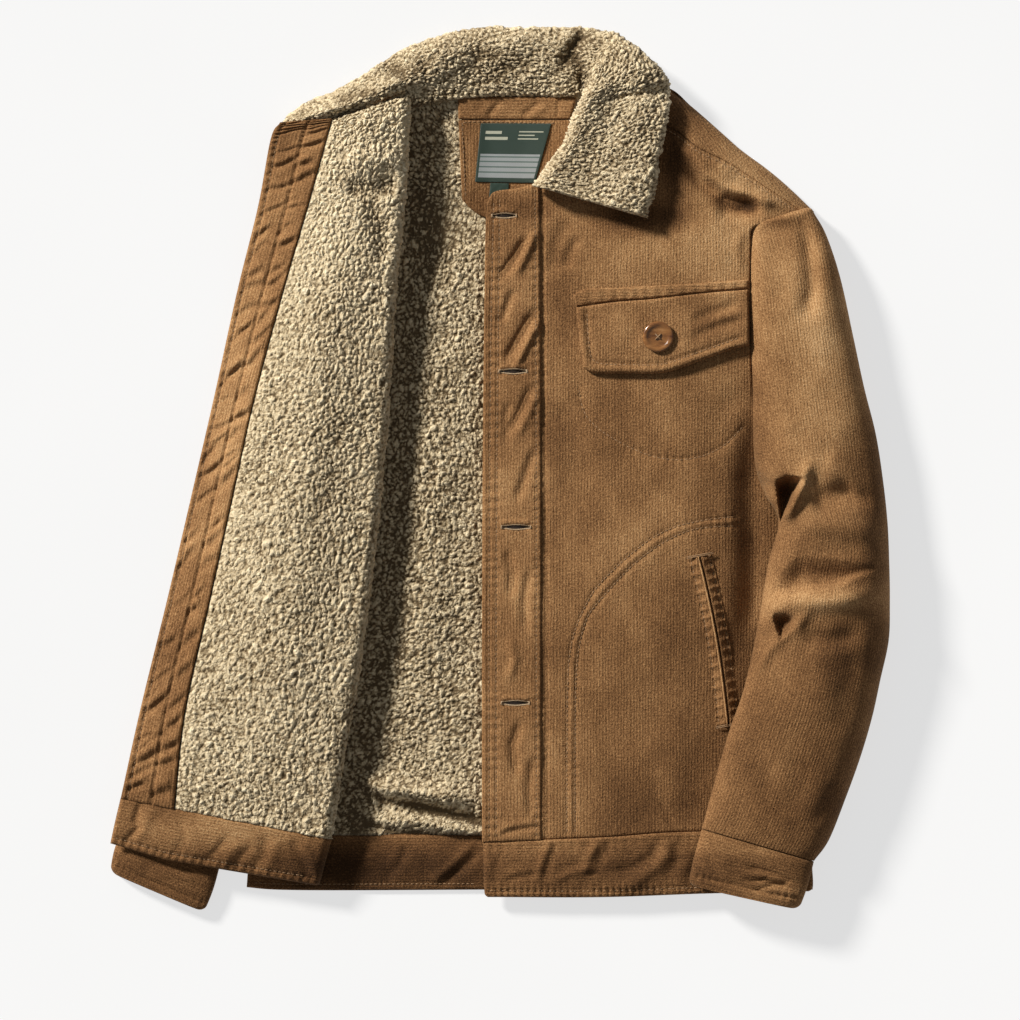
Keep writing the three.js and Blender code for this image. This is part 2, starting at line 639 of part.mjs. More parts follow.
const FOLD_FLOOR = 8;
const RIGHT_ROWS = [
  { free: [-320, -279], seam: [-275, -288], fold: [-141, -314], freeZ: 24, seamZ: 27, midZ: 29, foldZ: 29.5 },
  { free: [-303, -201], seam: [-266, -206], fold: [-126, -230], freeZ: 19, seamZ: 27, midZ: 33, foldZ: 30 },
  { free: [-280, -106], seam: [-245, -111], fold: [-111, -130], freeZ: 14, seamZ: 25, midZ: 34.5, foldZ: 30 },
  { free: [-258, -11], seam: [-224, -15], fold: [-99, -28], freeZ: 12, seamZ: 24, midZ: 35, foldZ: 30 },
  { free: [-241, 63], seam: [-207, 61], fold: [-92, 50], freeZ: 12, seamZ: 24, midZ: 35, foldZ: 30 },
  { free: [-222, 150], seam: [-183, 150], fold: [-87, 143], freeZ: 12, seamZ: 24, midZ: 34.5, foldZ: 30 },
  { free: [-204, 223], seam: [-162, 222], fold: [-79, 216], freeZ: 14, seamZ: 25, midZ: 33, foldZ: 30 },
  { free: [-193, 280], seam: [-145, 283], fold: [-74, 290], freeZ: 20, seamZ: 26, midZ: 31, foldZ: 30 },
  { free: [-185, 294], seam: [-141, 297], fold: [-73, 320], freeZ: 21, seamZ: 25, midZ: 29, foldZ: 29.5 },
];
const RIGHT_BAND_ROWS = [
  { free: [-329, -317], seam: [-282, -331], fold: [-152, -353], freeZ: 20, seamZ: 22, midZ: 21, foldZ: 20 },
  { free: [-325, -299], seam: [-279, -311], fold: [-147, -334], freeZ: 23, seamZ: 26, midZ: 26, foldZ: 25 },
  { free: [-320.3, -280], seam: [-275.3, -289], fold: [-141.3, -315], freeZ: 23.5, seamZ: 26, midZ: 28, foldZ: 28 },
];

// One row of a folded sheet: plan points and heights by the distance from its free edge.
const CROWN_AT = 0.45;
function foldedRow(rows, v, floorZ) {
  const get = (key) => rowValue(rows, key, v);
  const [free, seam, fold] = ["free", "seam", "fold"].map(get);
  const facing = Math.hypot(seam[0] - free[0], seam[1] - free[1]);
  const lining = Math.hypot(fold[0] - seam[0], fold[1] - seam[1]);
  const total = facing + lining;
  const radius = (get("foldZ") - floorZ) / 2;
  const profile = [
    { q: 0, z: get("freeZ") },
    { q: facing, z: get("seamZ") },
    { q: facing + CROWN_AT * lining, z: get("midZ") },
    { q: total - radius, z: get("foldZ") },
  ];
  const plan = (q) =>
    [0, 1].map((k) => {
      if (q < facing) return lerp(free[k], seam[k], q / facing);
      return lerp(seam[k], fold[k], (q - facing) / lining);
    });
  return { facing, total, radius, top: get("foldZ"), plan, height: (q) => tableValue(profile, "q", q, "z") };
}

// A sheet from the distance `start` to the fold, round the fold and back under itself by `tail`.
function foldedSheet({ rows, steps, columns, curl, floorZ, start, drop, thickness, tail }) {
  const layer = (below) =>
    Array.from({ length: steps + 1 }, (_, j) => {
      const row = foldedRow(rows, j / steps, floorZ);
      const turn = row.total - row.radius;
      const flat = Array.from({ length: columns + 1 }, (_, i) => {
        const q = lerp(start(row), turn, i / columns);
        return [q, row.height(q) - drop(q, row) - below];
      });
      const inset = drop(turn, row) + below;
      const round = Array.from({ length: curl }, (_, i) => {
        const angle = Math.PI * (0.5 - (i + 1) / curl);
        const reach = row.radius - inset;
        return [turn + reach * Math.cos(angle), row.top - row.radius + reach * Math.sin(angle)];
      });
      const back = [[turn - tail, row.top - 2 * row.radius + inset]];
      return [...flat, ...round, ...back].map(([q, z]) => [...row.plan(q), z]);
    });
  return between(layer(0), layer(thickness));
}

const pileDrop = PILE + LAY_GAP;
const facingDrop = CORDUROY + LAY_GAP;
const shellDrop = (q, row) => lerp(facingDrop, pileDrop, smoothstep(q / row.facing, 0.12, 0.5)) + SEAM_GAP;
const wholeRow = { rows: RIGHT_ROWS, steps: 24, floorZ: FOLD_FLOOR };
add("right_lining", foldedSheet({
  ...wholeRow,
  columns: 9,
  curl: 6,
  start: (row) => row.facing + SEAM_GAP,
  drop: () => 0,
  thickness: PILE,
  tail: 10,
}), pile);
add("right_front", foldedSheet({
  ...wholeRow,
  steps: 16,
  columns: 9,
  curl: 4,
  start: () => 1.5,
  drop: shellDrop,
  thickness: CORDUROY,
  tail: 12,
}), corduroy);

function facingPoint(below) {
  return (u, v) => {
    const row = foldedRow(RIGHT_ROWS, v, FOLD_FLOOR);
    const q = u * row.facing;
    return [...row.plan(q), row.height(q) - below];
  };
}
add("right_facing", between(gridOf(4, 26, facingPoint(0)), gridOf(4, 26, facingPoint(CORDUROY))), corduroy);
add("right_hem_band", foldedSheet({
  rows: RIGHT_BAND_ROWS,
  steps: 4,
  columns: 14,
  curl: 4,
  floorZ: BAND + 2.6,
  start: () => 0,
  drop: () => 0,
  thickness: BAND,
  tail: 12,
}), corduroy);

// Buttons of the right front, on its outer side, which faces down here
const FRONT_BUTTONS = [0.85, 0.62, 0.39, 0.15];
const BUTTON_INSET = 20;
const BUTTON_SEAT = 1;
FRONT_BUTTONS.forEach((v, i) => {
  const row = foldedRow(RIGHT_ROWS, v, FOLD_FLOOR);
  const under = (q) => row.height(q) - shellDrop(q, row) - CORDUROY;
  const [x, y] = row.plan(BUTTON_INSET);
  const [ax, ay] = row.plan(BUTTON_INSET + BUTTON_RADIUS);
  const rise = (under(BUTTON_INSET + BUTTON_RADIUS) - under(BUTTON_INSET)) / BUTTON_RADIUS ** 2;
  const down = new THREE.Vector3(rise * (ax - x), rise * (ay - y), -1).normalize();
  const button = add(`front_button_${i + 1}`, buttonGeometry(14, false), horn);
  button.quaternion.setFromUnitVectors(new THREE.Vector3(0, 0, 1), down);
  button.position.set(x, y, under(BUTTON_INSET)).addScaledVector(down, BUTTON_SEAT);
});

// Collar: flat and lining up behind the neck, rolled over and down on the left front

const ROLL_RADIUS = 12;
const ROLL_CENTRE = 27;
const ROLL_SHARE = 0.4;
const ROLL_START = 1.2;
const LEAF_CLEAR = 1;
const COLLAR_STATIONS = [
  { root: [-178, 296.5], edge: [-184, 297], roll: 0, lift: 8 },
  { root: [-160, 298], edge: [-169, 309], roll: 0, lift: 8 },
  { root: [-124, 309], edge: [-127, 328], roll: 0, lift: 9 },
  { root: [-86, 323], edge: [-85, 355], roll: 0, lift: 9 },
  { root: [-45, 319], edge: [-46, 370], roll: 0, lift: 2 },
  { root: [-5, 318.5], edge: [-8, 376], roll: 0, lift: 0 },
  { root: [35, 318.5], edge: [40, 376], roll: 0.05, lift: 0 },
  { root: [66, 320], edge: [86, 374.5], roll: 0.2, lift: 0 },
  { root: [72, 334], edge: [112, 363], roll: 0.65, lift: 0 },
  { root: [70, 320], edge: [137, 340], roll: 0.95, lift: 0 },
  { root: [65, 306], edge: [146, 322], roll: 1, lift: 0 },
  { root: [59, 287], edge: [144, 297], roll: 1, lift: 0 },
  { root: [50, 269], edge: [139, 272], roll: 1, lift: 0 },
  { root: [38, 254], edge: [134, 240], roll: 1, lift: 0 },
  { root: [27, 240], edge: [126, 212], roll: 1, lift: 0 },
];
const COLLAR_FLAT = [
  { s: 0, top: 9, under: 0 },
  { s: 0.25, top: 12.5, under: 2 },
  { s: 0.5, top: 17, under: 7 },
  { s: 0.8, top: 16, under: 6 },
  { s: 1, top: 10, under: 0 },
];

function collarPoint(layer) {
  return (s, t) => {
    const [root, tip] = ["root", "edge"].map((key) => rowValue(COLLAR_STATIONS, key, t));
    const roll = rowValue(COLLAR_STATIONS, "roll", t);
    const length = Math.hypot(tip[0] - root[0], tip[1] - root[1]);
    const below = layer === "under" ? COLLAR_WALL : 0;
    const lift = rowValue(COLLAR_STATIONS, "lift", t) * (1 - s) ** 2;
    const flat = [s * length, tableValue(COLLAR_FLAT, "s", s, layer) + lift];
    const reach = ROLL_RADIUS - below;
    const angle = Math.PI * lerp(ROLL_START, 0.5, clamp(s / ROLL_SHARE, 0, 1));
    const out = clamp((s - ROLL_SHARE) / (1 - ROLL_SHARE), 0, 1);
    const edgeZ = frontBase(tip[0], tip[1]) + COLLAR_WALL + LEAF_CLEAR;
    const leafZ = lerp(ROLL_CENTRE + ROLL_RADIUS, edgeZ, out ** 1.2) - below;
    const turned = [ROLL_RADIUS + reach * Math.cos(angle), ROLL_CENTRE + reach * Math.sin(angle)];
    const rolled = s < ROLL_SHARE ? turned : [lerp(ROLL_RADIUS, length, out), leafZ];
    const [q, z] = [0, 1].map((k) => lerp(flat[k], rolled[k], roll));
    return [lerp(root[0], tip[0], q / length), lerp(root[1], tip[1], q / length), Math.max(z, 0)];
  };
}
add("collar", between(gridOf(11, 30, collarPoint("top")), gridOf(11, 30, collarPoint("under"))), pile);

// Neck band, patch, label and tab on the back lining

function onLining(plan, columns, rows, lift, thickness) {
  const under = (x, y) => liningHeight(x, y) + lift;
  return panel(plan, columns, rows, (x, y) => under(x, y) + thickness, under);
}
const PATCH_CLOTH = 1.8;
const ON_PILE = 0.6;
const LABEL_CLOTH = 0.8;
const neckBandPlan = patch({
  bottom: edge([[-34, 297.3], [61, 297.3]]),
  top: edge([[-34.5, 316], [20, 316.5], [66, 316]]),
  left: edge([[-34, 297.3], [-34.5, 316]]),
  right: edge([[61, 297.3], [66, 316]]),
});
const patchPlan = patch({
  bottom: edge([[-31, 229], [-22, 220], [-11, 214], [18, 214]]),
  top: edge([[-34, 296.7], [52, 296.7]]),
  left: edge([[-31, 229], [-34, 296.7]]),
  right: edge([[18, 214], [38, 244], [52, 296.7]]),
});
const labelPlan = patch({
  bottom: edge([[-20, 244], [31, 243]]),
  top: edge([[-15, 294], [45, 293.5]]),
  left: edge([[-20, 244], [-15, 294]]),
  right: edge([[31, 243], [45, 293.5]]),
});
const tabPlan = patch({
  bottom: edge([[-8, 231], [8, 231]]),
  top: edge([[-7, 243.2], [9, 242.8]]),
  left: edge([[-8, 231], [-7, 243.2]]),
  right: edge([[8, 231], [9, 242.8]]),
});
add("neck_band", onLining(neckBandPlan, 8, 2, ON_PILE, CORDUROY), corduroy);
add("neck_patch", onLining(patchPlan, 6, 6, ON_PILE, PATCH_CLOTH), corduroy);
const onPatch = ON_PILE + PATCH_CLOTH + SEAM_GAP;
add("label", onLining(labelPlan, 4, 4, onPatch, LABEL_CLOTH), woven);
add("loop_tab", onLining(tabPlan, 2, 2, onPatch, LABEL_CLOTH), woven);

export default jacket;
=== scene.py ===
"""Looks of a corduroy jacket with a pile lining, laid flat on its back and half open.

Plan sizes and heights are millimetres here and turn into metres when a mesh is made.
+X is the wearer's left side, +Y points to the collar and +Z up, out of the front.
"""
import math

import bpy
import numpy as np
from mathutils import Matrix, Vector


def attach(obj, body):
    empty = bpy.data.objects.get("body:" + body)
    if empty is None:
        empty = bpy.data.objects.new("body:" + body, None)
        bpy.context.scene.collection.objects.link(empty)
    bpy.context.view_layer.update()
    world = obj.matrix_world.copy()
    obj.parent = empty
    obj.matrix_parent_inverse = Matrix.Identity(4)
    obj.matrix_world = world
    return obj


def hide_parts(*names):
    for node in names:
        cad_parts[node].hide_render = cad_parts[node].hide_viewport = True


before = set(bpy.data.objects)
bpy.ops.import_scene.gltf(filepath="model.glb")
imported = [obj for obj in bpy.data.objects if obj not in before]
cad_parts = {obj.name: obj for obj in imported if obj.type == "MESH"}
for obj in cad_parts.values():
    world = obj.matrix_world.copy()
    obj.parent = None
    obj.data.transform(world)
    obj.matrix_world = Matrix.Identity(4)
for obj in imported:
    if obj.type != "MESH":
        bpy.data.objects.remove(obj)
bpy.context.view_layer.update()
MM = 0.001

# Cloth thicknesses and gaps, as in the solids
SEAM_GAP = 0.3
LAY_GAP = 0.4
CORDUROY = 2.4
BACK_SHELL = 2
FRONT_WALL = 8
PILE = 6
BAND = 5
COLLAR_WALL = 8
SLEEVE_WALL = 3
PLACKET_EDGE = -13
PLACKET_SEAM = 36
SIDE_SEAM = 262
HEM_SEAM = -313
HEM_EDGE = -357


# Curves, tables and soft noise

def lerp(a, b, f):
    return a + (b - a) * f


def smoothstep(x, low, high):
    f = np.clip((x - low) / (high - low), 0, 1)
    return f * f * (3 - 2 * f)


def table(columns, *rows):
    """A table of numbers as a dict of named columns."""
    return {name: np.array([row[i] for row in rows], float) for i, name in enumerate(columns.split())}


def edge(points, samples=60):
    """A centripetal Catmull-Rom curve through [x, y] points, measured by its own length from 0 to 1."""
    p = np.array(points, float)
    knots = np.vstack([2 * p[0] - p[1], p, 2 * p[-1] - p[-2]])
    run = []
    for i in range(len(p) - 1):
        a, b, c, d = knots[i:i + 4]
        ab, bc, cd = (np.linalg.norm(t - s) ** 0.5 for s, t in ((a, b), (b, c), (c, d)))
        start = ((b - a) / ab - (c - a) / (ab + bc) + (c - b) / bc) * bc
        end = ((c - b) / bc - (d - b) / (bc + cd) + (d - c) / cd) * bc
        f = np.linspace(0, 1, samples)[:, None]
        hermite = b * (2 * f**3 - 3 * f**2 + 1) + start * (f**3 - 2 * f**2 + f)
        run.append(hermite + c * (3 * f**2 - 2 * f**3) + end * (f**3 - f**2))
    curve = np.vstack(run)
    length = np.r_[0, np.cumsum(np.linalg.norm(np.diff(curve, axis=0), axis=1))]

    def at(t):
        reach = np.clip(t, 0, 1) * length[-1]
        return np.stack([np.interp(reach, length, curve[:, k]) for k in (0, 1)], -1)

    at.length = length[-1]
    return at


def table_value(keys, values, at):
    """Smooth values through a table, at places `at`. A row of values may hold one number or one for each place."""
    at = np.asarray(at, float)
    shape = at.shape
    keys = np.asarray(keys, float)
    place = np.clip(at.ravel(), keys[0], keys[-1])
    values = np.asarray(values, float).reshape(len(keys), -1)
    values = values * np.ones((1, place.size))
    slopes = np.empty_like(values)
    slopes[1:-1] = (values[2:] - values[:-2]) / (keys[2:] - keys[:-2])[:, None]
    slopes[0] = (values[1] - values[0]) / (keys[1] - keys[0])
    slopes[-1] = (values[-1] - values[-2]) / (keys[-1] - keys[-2])
    i = np.clip(np.searchsorted(keys, place, side="left") - 1, 0, len(keys) - 2)
    n = np.arange(place.size)
    span = keys[i + 1] - keys[i]
    f = (place - keys[i]) / span
    rise = values[i + 1, n] - values[i, n]
    bend = (1 - f) * (slopes[i, n] * span - rise) + f * (rise - slopes[i + 1, n] * span)
    return (values[i, n] + f * rise + f * (1 - f) * bend).reshape(shape)


def row_value(rows, name, t):
    """The same down a table whose rows are spaced evenly from 0 to 1."""
    column = rows[name]
    return table_value(np.linspace(0, 1, len(column)), column, t)


def nearest(points, x, y):
    """Distance from plan points to a run of straight legs, and how far along it each is, from 0 to 1."""
    best = np.full(np.shape(x), 1e9)
    along = np.zeros(np.shape(x))
    for i, ((ax, ay), (bx, by)) in enumerate(zip(points, points[1:])):
        dx, dy = bx - ax, by - ay
        f = np.clip(((x - ax) * dx + (y - ay) * dy) / (dx * dx + dy * dy), 0, 1)
        distance = np.hypot(x - ax - f * dx, y - ay - f * dy)
        closer = distance < best
        best = np.where(closer, distance, best)
        along = np.where(closer, (i + f) / (len(points) - 1), along)
    return best, along


def softened(folds, depth=0.5, width=1.15):
    """The same folds, shallower and wider."""
    return [(line, depth * deep, width * wide) for line, deep, wide in folds]


def fold_depth(folds, x, y):
    """Sum of soft troughs (depth over 0) and ridges (depth under 0): rows of line, depth and width."""
    total = np.zeros(np.shape(x))
    for line, depth, width in folds:
        points = np.array(line)
        reach = 3 * width
        low, high = points.min(0) - reach, points.max(0) + reach
        near = (x > low[0]) & (x < high[0]) & (y > low[1]) & (y < high[1])
        if not near.any():
            continue
        distance, along = nearest(line, x[near], y[near])
        fade = smoothstep(along, 0, 0.25) * (1 - smoothstep(along, 0.75, 1))
        total[near] += depth * fade * np.exp(-((distance / width) ** 2))
    return total


def hollow(polygon, x, y, depth, steep, gentle, legs):
    """A hollow inside a plan polygon. Its first `legs` sides slope in over `gentle`, the others over `steep`."""
    closed = polygon + polygon[:1]
    inside = np.zeros(np.shape(x), bool)
    for (ax, ay), (bx, by) in zip(closed, closed[1:]):
        if ay != by:
            inside ^= ((ay > y) != (by > y)) & (x < (bx - ax) * (y - ay) / (by - ay) + ax)
    sign = np.where(inside, 1, -1)
    slow = smoothstep(sign * nearest(closed[:legs + 1], x, y)[0], -0.2 * gentle, gentle)
    fast = smoothstep(sign * nearest(closed[legs:], x, y)[0], -0.5 * steep, steep)
    return depth * slow * fast


def run_along(points, x, y):
    """Distance from plan points to a line, and the run along it in millimetres."""
    points = np.asarray(points, float)
    lengths = np.r_[0, np.cumsum(np.linalg.norm(np.diff(points, axis=0), axis=1))]
    distance, along = nearest([tuple(p) for p in points], x, y)
    return distance, np.interp(along * (len(points) - 1), np.arange(len(points)), lengths)


def seam_relief(lines, x, y, depth=0.9, width=1.5, pucker=0.4, pitch=7.0):
    """Stitched lines: a narrow groove, with small uneven puckers across it."""
    x, y = np.broadcast_arrays(x, y)
    total = np.zeros(x.shape)
    for line in lines:
        points = np.array(line)
        reach = 6 * width
        low, high = points.min(0) - reach, points.max(0) + reach
        near = (x > low[0]) & (x < high[0]) & (y > low[1]) & (y < high[1])
        if not near.any():
            continue
        distance, run = run_along(line, x[near], y[near])
        phase = run * 2 * np.pi / pitch + 2.4 * soft_noise(run, distance * 0, 23, 5)
        strength = 0.6 + 0.6 * soft_noise(run, distance * 0, 31, 6)
        wave = pucker * strength * np.sin(phase) * np.exp(-((distance / (2.6 * width)) ** 2))
        total[near] += wave - depth * np.exp(-((distance / width) ** 2))
    return total


def soft_noise(x, y, size, seed):
    """Smooth noise from -1 to 1 with bumps about `size` across."""
    grid = np.random.default_rng(seed).uniform(-1, 1, (64, 64))
    a, b = np.asarray(x) / size + 31.7, np.asarray(y) / size + 17.3
    i, j = np.floor(a).astype(int), np.floor(b).astype(int)
    f, g = a - i, b - j
    f, g = f * f * (3 - 2 * f), g * g * (3 - 2 * g)
    pick = lambda di, dj: grid[(i + di) % 64, (j + dj) % 64]
    return lerp(lerp(pick(0, 0), pick(1, 0), f), lerp(pick(0, 1), pick(1, 1), f), g)


CURL = 4.5
CURL_HEIGHT = 3.6


def curls(a, b, size, seed):
    """Curly pile over cut coordinates: 0 in the crevices, up to 1 on the crown of each curl."""
    draws = np.random.default_rng(seed).random((128, 128, 5))
    a, b = np.asarray(a) / size, np.asarray(b) / size
    warp = [0.5 * soft_noise(a, b, 1.7, seed + k) + 0.28 * soft_noise(a, b, 0.7, seed + 2 + k) for k in (0, 1)]
    a, b = a + warp[0], b + warp[1]
    i, j = np.floor(a).astype(int), np.floor(b).astype(int)
    first, second = np.full(a.shape, 9.0), np.full(a.shape, 9.0)
    lift = np.zeros(a.shape)
    for di in (-1, 0, 1):
        for dj in (-1, 0, 1):
            cell = draws[(i + di) % 128, (j + dj) % 128]
            da = a - (i + di + cell[..., 0])
            db = b - (j + dj + cell[..., 1])
            turn = np.pi * cell[..., 2]
            stretch = 1 + 0.5 * cell[..., 3]
            along = da * np.cos(turn) + db * np.sin(turn)
            across = db * np.cos(turn) - da * np.sin(turn)
            distance = np.hypot(along / stretch, across * stretch**0.5)
            closer = distance < first
            second = np.where(closer, first, np.minimum(second, distance))
            lift = np.where(closer, cell[..., 4], lift)
            first = np.where(closer, distance, first)
    gap = smoothstep(second - first, -0.05, 0.6)
    return gap**0.8 * (0.66 + 0.34 * lift) * np.clip(1.1 - 0.7 * first**2, 0, 1)


def pile_height(a, b, seed):
    """Pile over cut coordinates, 0 to 1: curls of two sizes with soft tufts between them."""
    large = curls(a, b, CURL, seed)
    small = curls(a + 3, b + 5, CURL * 0.6, seed + 1)
    return 0.66 * large + 0.34 * small


# Heights of the cloth above the surface, as in the solids

SHOULDER_LINE = [
    (60, 332), (82, 329), (144, 324), (163, 309), (186, 289), (205, 272), (228, 255), (248, 238), (268, 219),
]
SHOULDER_ROLL = 30
SHOULDER_START = 200
SHOULDER_EDGE_HEIGHT = 5
FRONT_ROWS = table(
    "y edge inner middle outer flank side",
    (-360, 12, 13, 13, 12, 11, 10),
    (-308, 14, 16, 17, 14, 11.5, 10),
    (-200, 15, 19, 22, 18, 10, 6.5),
    (-80, 15, 20, 25, 23, 11, 6),
    (0, 15, 20, 25, 25, 15, 8),
    (120, 15, 20, 25, 26, 25, 24),
    (240, 14, 18, 23, 24, 24, 22),
    (330, 14, 17, 20, 20, 20, 18),
)
FRONT_PLACES = {"edge": -13, "inner": 50, "middle": 120, "outer": 190, "flank": 230, "side": 262}
FRONT_FOLDS = [
    ([(182, 221), (207, 220), (224, 226)], 5, 9),
    ([(154, 279), (177, 262), (205, 247)], -2.5, 8),
    ([(192, 234), (216, 229), (236, 223)], -2, 6),
]


def front_base(x, y):
    x, y = np.broadcast_arrays(np.asarray(x, float), np.asarray(y, float))
    across = [table_value(FRONT_ROWS["y"], FRONT_ROWS[name], y.ravel()) for name in FRONT_PLACES]
    flat = table_value(list(FRONT_PLACES.values()), across, x.ravel()).reshape(x.shape)
    inside = np.clip(nearest(SHOULDER_LINE, x, y)[0] / SHOULDER_ROLL, 0, 1)
    roll = np.sqrt(1 - (1 - inside) ** 2)
    return np.where(y > SHOULDER_START, lerp(SHOULDER_EDGE_HEIGHT, flat, roll), flat)


WALL_SHARE = 0.6
LEAST_WALL = 2.2
WALL_BASE = BACK_SHELL + 2 * SEAM_GAP


def front_under(x, y):
    base = front_base(x, y)
    return base - np.clip((base - WALL_BASE) * WALL_SHARE, LEAST_WALL, FRONT_WALL)


def solid_front(x, y):
    """The plain outer face of the left front's solid."""
    return front_base(x, y) - fold_depth(FRONT_FOLDS, x, y)


LINING_FOLDS = [
    ([(-124, -264), (-100, -268), (-60, -276), (40, -284)], -6, 9),
    ([(-110, -283), (-90, -286), (-14, -298), (30, -300)], 2.5, 5),
    ([(-62, 120), (-54, -60), (-66, -230)], -2, 20),
]
NECK_DIP = 3
UNDER_GAP = 1.7
COVER_START = PLACKET_EDGE - 12
OPEN_END = PLACKET_EDGE - 35


def lining_height(x, y):
    under = front_under(np.maximum(x, PLACKET_EDGE), y)
    covered = smoothstep(x, COVER_START, PLACKET_EDGE + 8)
    folds = (1 - smoothstep(x, OPEN_END, COVER_START)) * fold_depth(LINING_FOLDS, x, y)
    dip = NECK_DIP * smoothstep(y, 180, 202) * smoothstep(x, -64, -48) * (1 - smoothstep(x, 62, 76))
    return np.maximum(under - lerp(LAY_GAP, UNDER_GAP, covered) - folds - dip, WALL_BASE)


# Light and dark patches over the plan, each [x, y, reach x, reach y, amount]: some are nap tone, many are painted
# shadows, painted shade in hollows and painted highlights on lit folds

NAP_AND_PAINTED_LIGHT = [
    (215, 250, 45, 30, 0.2), (175, 195, 50, 40, 0.2), (110, 215, 50, 30, 0.1), (60, 150, 14, 60, -0.05),
    (115, 118, 45, 26, 0.14), (185, 125, 24, 14, -0.06), (140, 60, 60, 40, 0.02), (150, 20, 50, 20, -0.05),
    (222, 20, 16, 60, -0.1), (120, -60, 50, 30, 0.03), (110, -220, 60, 80, -0.04), (200, -150, 18, 80, -0.08),
    (150, -290, 80, 20, -0.06), (272, 100, 34, 90, 0.3), (316, -40, 14, 110, -0.12), (262, -10, 20, 12, 0.1),
    (276, -112, 44, 11, 0.3), (272, -86, 44, 9, -0.12), (285, -170, 30, 60, -0.16), (225, -190, 18, 60, -0.06),
    (255, -270, 40, 40, -0.12), (130, -340, 140, 18, -0.2), (215, -345, 50, 18, -0.1), (210, -322, 40, 4, 0.1),
    (-100, -340, 90, 24, -0.36), (-280, -345, 60, 25, -0.3), (-240, -306, 80, 18, 0.28), (-220, 60, 40, 240, 0.18),
    (12, 0, 24, 240, 0.1), (10, 306, 60, 12, 0.07), (243, -16, 8, 14, -0.4), (240, -130, 6, 7, -0.3),
    (178, 238, 6, 6, -0.22), (189, 228, 8, 6, -0.45), (202, 224, 9, 6.5, -0.6), (213, 222, 6.5, 6.5, -0.6),
    (130, 190, 90, 60, 0.08), (240, 209, 22, 4, -0.14), (236, 231, 10, 7, 0.12),
    (226, -345, 40, 24, 0.14), (-290, -350, 34, 22, 0.14),
    (128, 212, 40, 13, -0.44), (149, 262, 9, 50, -0.34), (20, 222, 26, 10, -0.1),
]


def nap_and_painted_light(points):
    """How light the cloth is at each point, 0 to 1, from its place in plan: random nap tone with painted shade,
    painted shadows and painted highlights.
    """
    x, y = points[:, 0], points[:, 1]
    tone = 0.5 + 0.09 * soft_noise(x, y, 46, 91) + 0.05 * soft_noise(x, y, 19, 92)
    for x0, y0, rx, ry, amount in NAP_AND_PAINTED_LIGHT:
        tone = tone + amount * np.exp(-(((x - x0) / rx) ** 2) - ((y - y0) / ry) ** 2)
    return tone


# Meshes

def make_mesh(name, points, faces, cut=None, shade=None):
    """A smooth mesh from points in millimetres and a list of face arrays, each with one size of face.

    `cut` is each point's place in the flat cloth and `shade` how light the surface is painted there, 0 to 1: nap or
    pile tone with painted shade and painted highlights.
    """
    mesh = bpy.data.meshes.new(name)
    points = np.asarray(points, float).reshape(-1, 3)
    faces = [np.asarray(f, int) for f in faces if len(f)]
    corners = np.concatenate([f.ravel() for f in faces])
    sizes = np.concatenate([np.full(len(f), f.shape[1]) for f in faces])
    mesh.vertices.add(len(points))
    mesh.vertices.foreach_set("co", (points * MM).ravel())
    mesh.loops.add(len(corners))
    mesh.loops.foreach_set("vertex_index", corners)
    mesh.polygons.add(len(sizes))
    mesh.polygons.foreach_set("loop_start", np.r_[0, np.cumsum(sizes)[:-1]])
    mesh.update(calc_edges=True)
    mesh.shade_smooth()
    if cut is not None:
        layer = mesh.uv_layers.new(name="cut")
        layer.data.foreach_set("uv", (np.asarray(cut, float).reshape(-1, 2) * MM)[corners].ravel())
    if shade is None:
        shade = nap_and_painted_light(points)
    layer = mesh.attributes.new("shade", "FLOAT", "POINT")
    layer.data.foreach_set("value", np.asarray(shade, float).ravel())
    piece = bpy.data.objects.new(name, mesh)
    bpy.context.scene.collection.objects.link(piece)
    return piece


def settle(piece, node, slot, material):
    """Puts a finished piece on the part's body, in place of its CAD node."""
    piece.data.materials.append(material)
    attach(piece, "root")
    if node:
        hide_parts(node)
    return piece


def grid_faces(rows, columns):
    j, i = np.mgrid[0:rows - 1, 0:columns - 1]
    a = (j * columns + i).ravel()
    return np.stack([a, a + 1, a + columns + 1, a + columns], -1)


def coarse_faces(fine, inner, rows, columns):
    """Faces of a coarse grid whose rim uses every fine rim point. `inner` numbers its inside points."""
    quads, fans = [], []
    last_row, last_column = len(rows) - 1, len(columns) - 1
    for j in range(last_row):
        for i in range(last_column):
            low, high, left, right = j == 0, j == last_row - 1, i == 0, i == last_column - 1
            if not (low or high or left or right):
                quads.append((inner[j, i], inner[j, i + 1], inner[j + 1, i + 1], inner[j + 1, i]))
                continue
            r0, r1, c0, c1 = rows[j], rows[j + 1], columns[i], columns[i + 1]
            ring = list(fine[r0, c0:c1]) if low else [inner[j, i]]
            ring += list(fine[r0:r1, c1]) if right else [inner[j, i + 1]]
            ring += list(fine[r1, c1:c0:-1]) if high else [inner[j + 1, i + 1]]
            ring += list(fine[r1:r0:-1, c0]) if left else [inner[j + 1, i]]
            hub = next(k for k, p in enumerate(ring) if p >= fine.size)
            ring = ring[hub:] + ring[:hub]
            fans += [(ring[0], b, c) for b, c in zip(ring[1:], ring[2:])]
    return [np.array(quads), np.array(fans)]


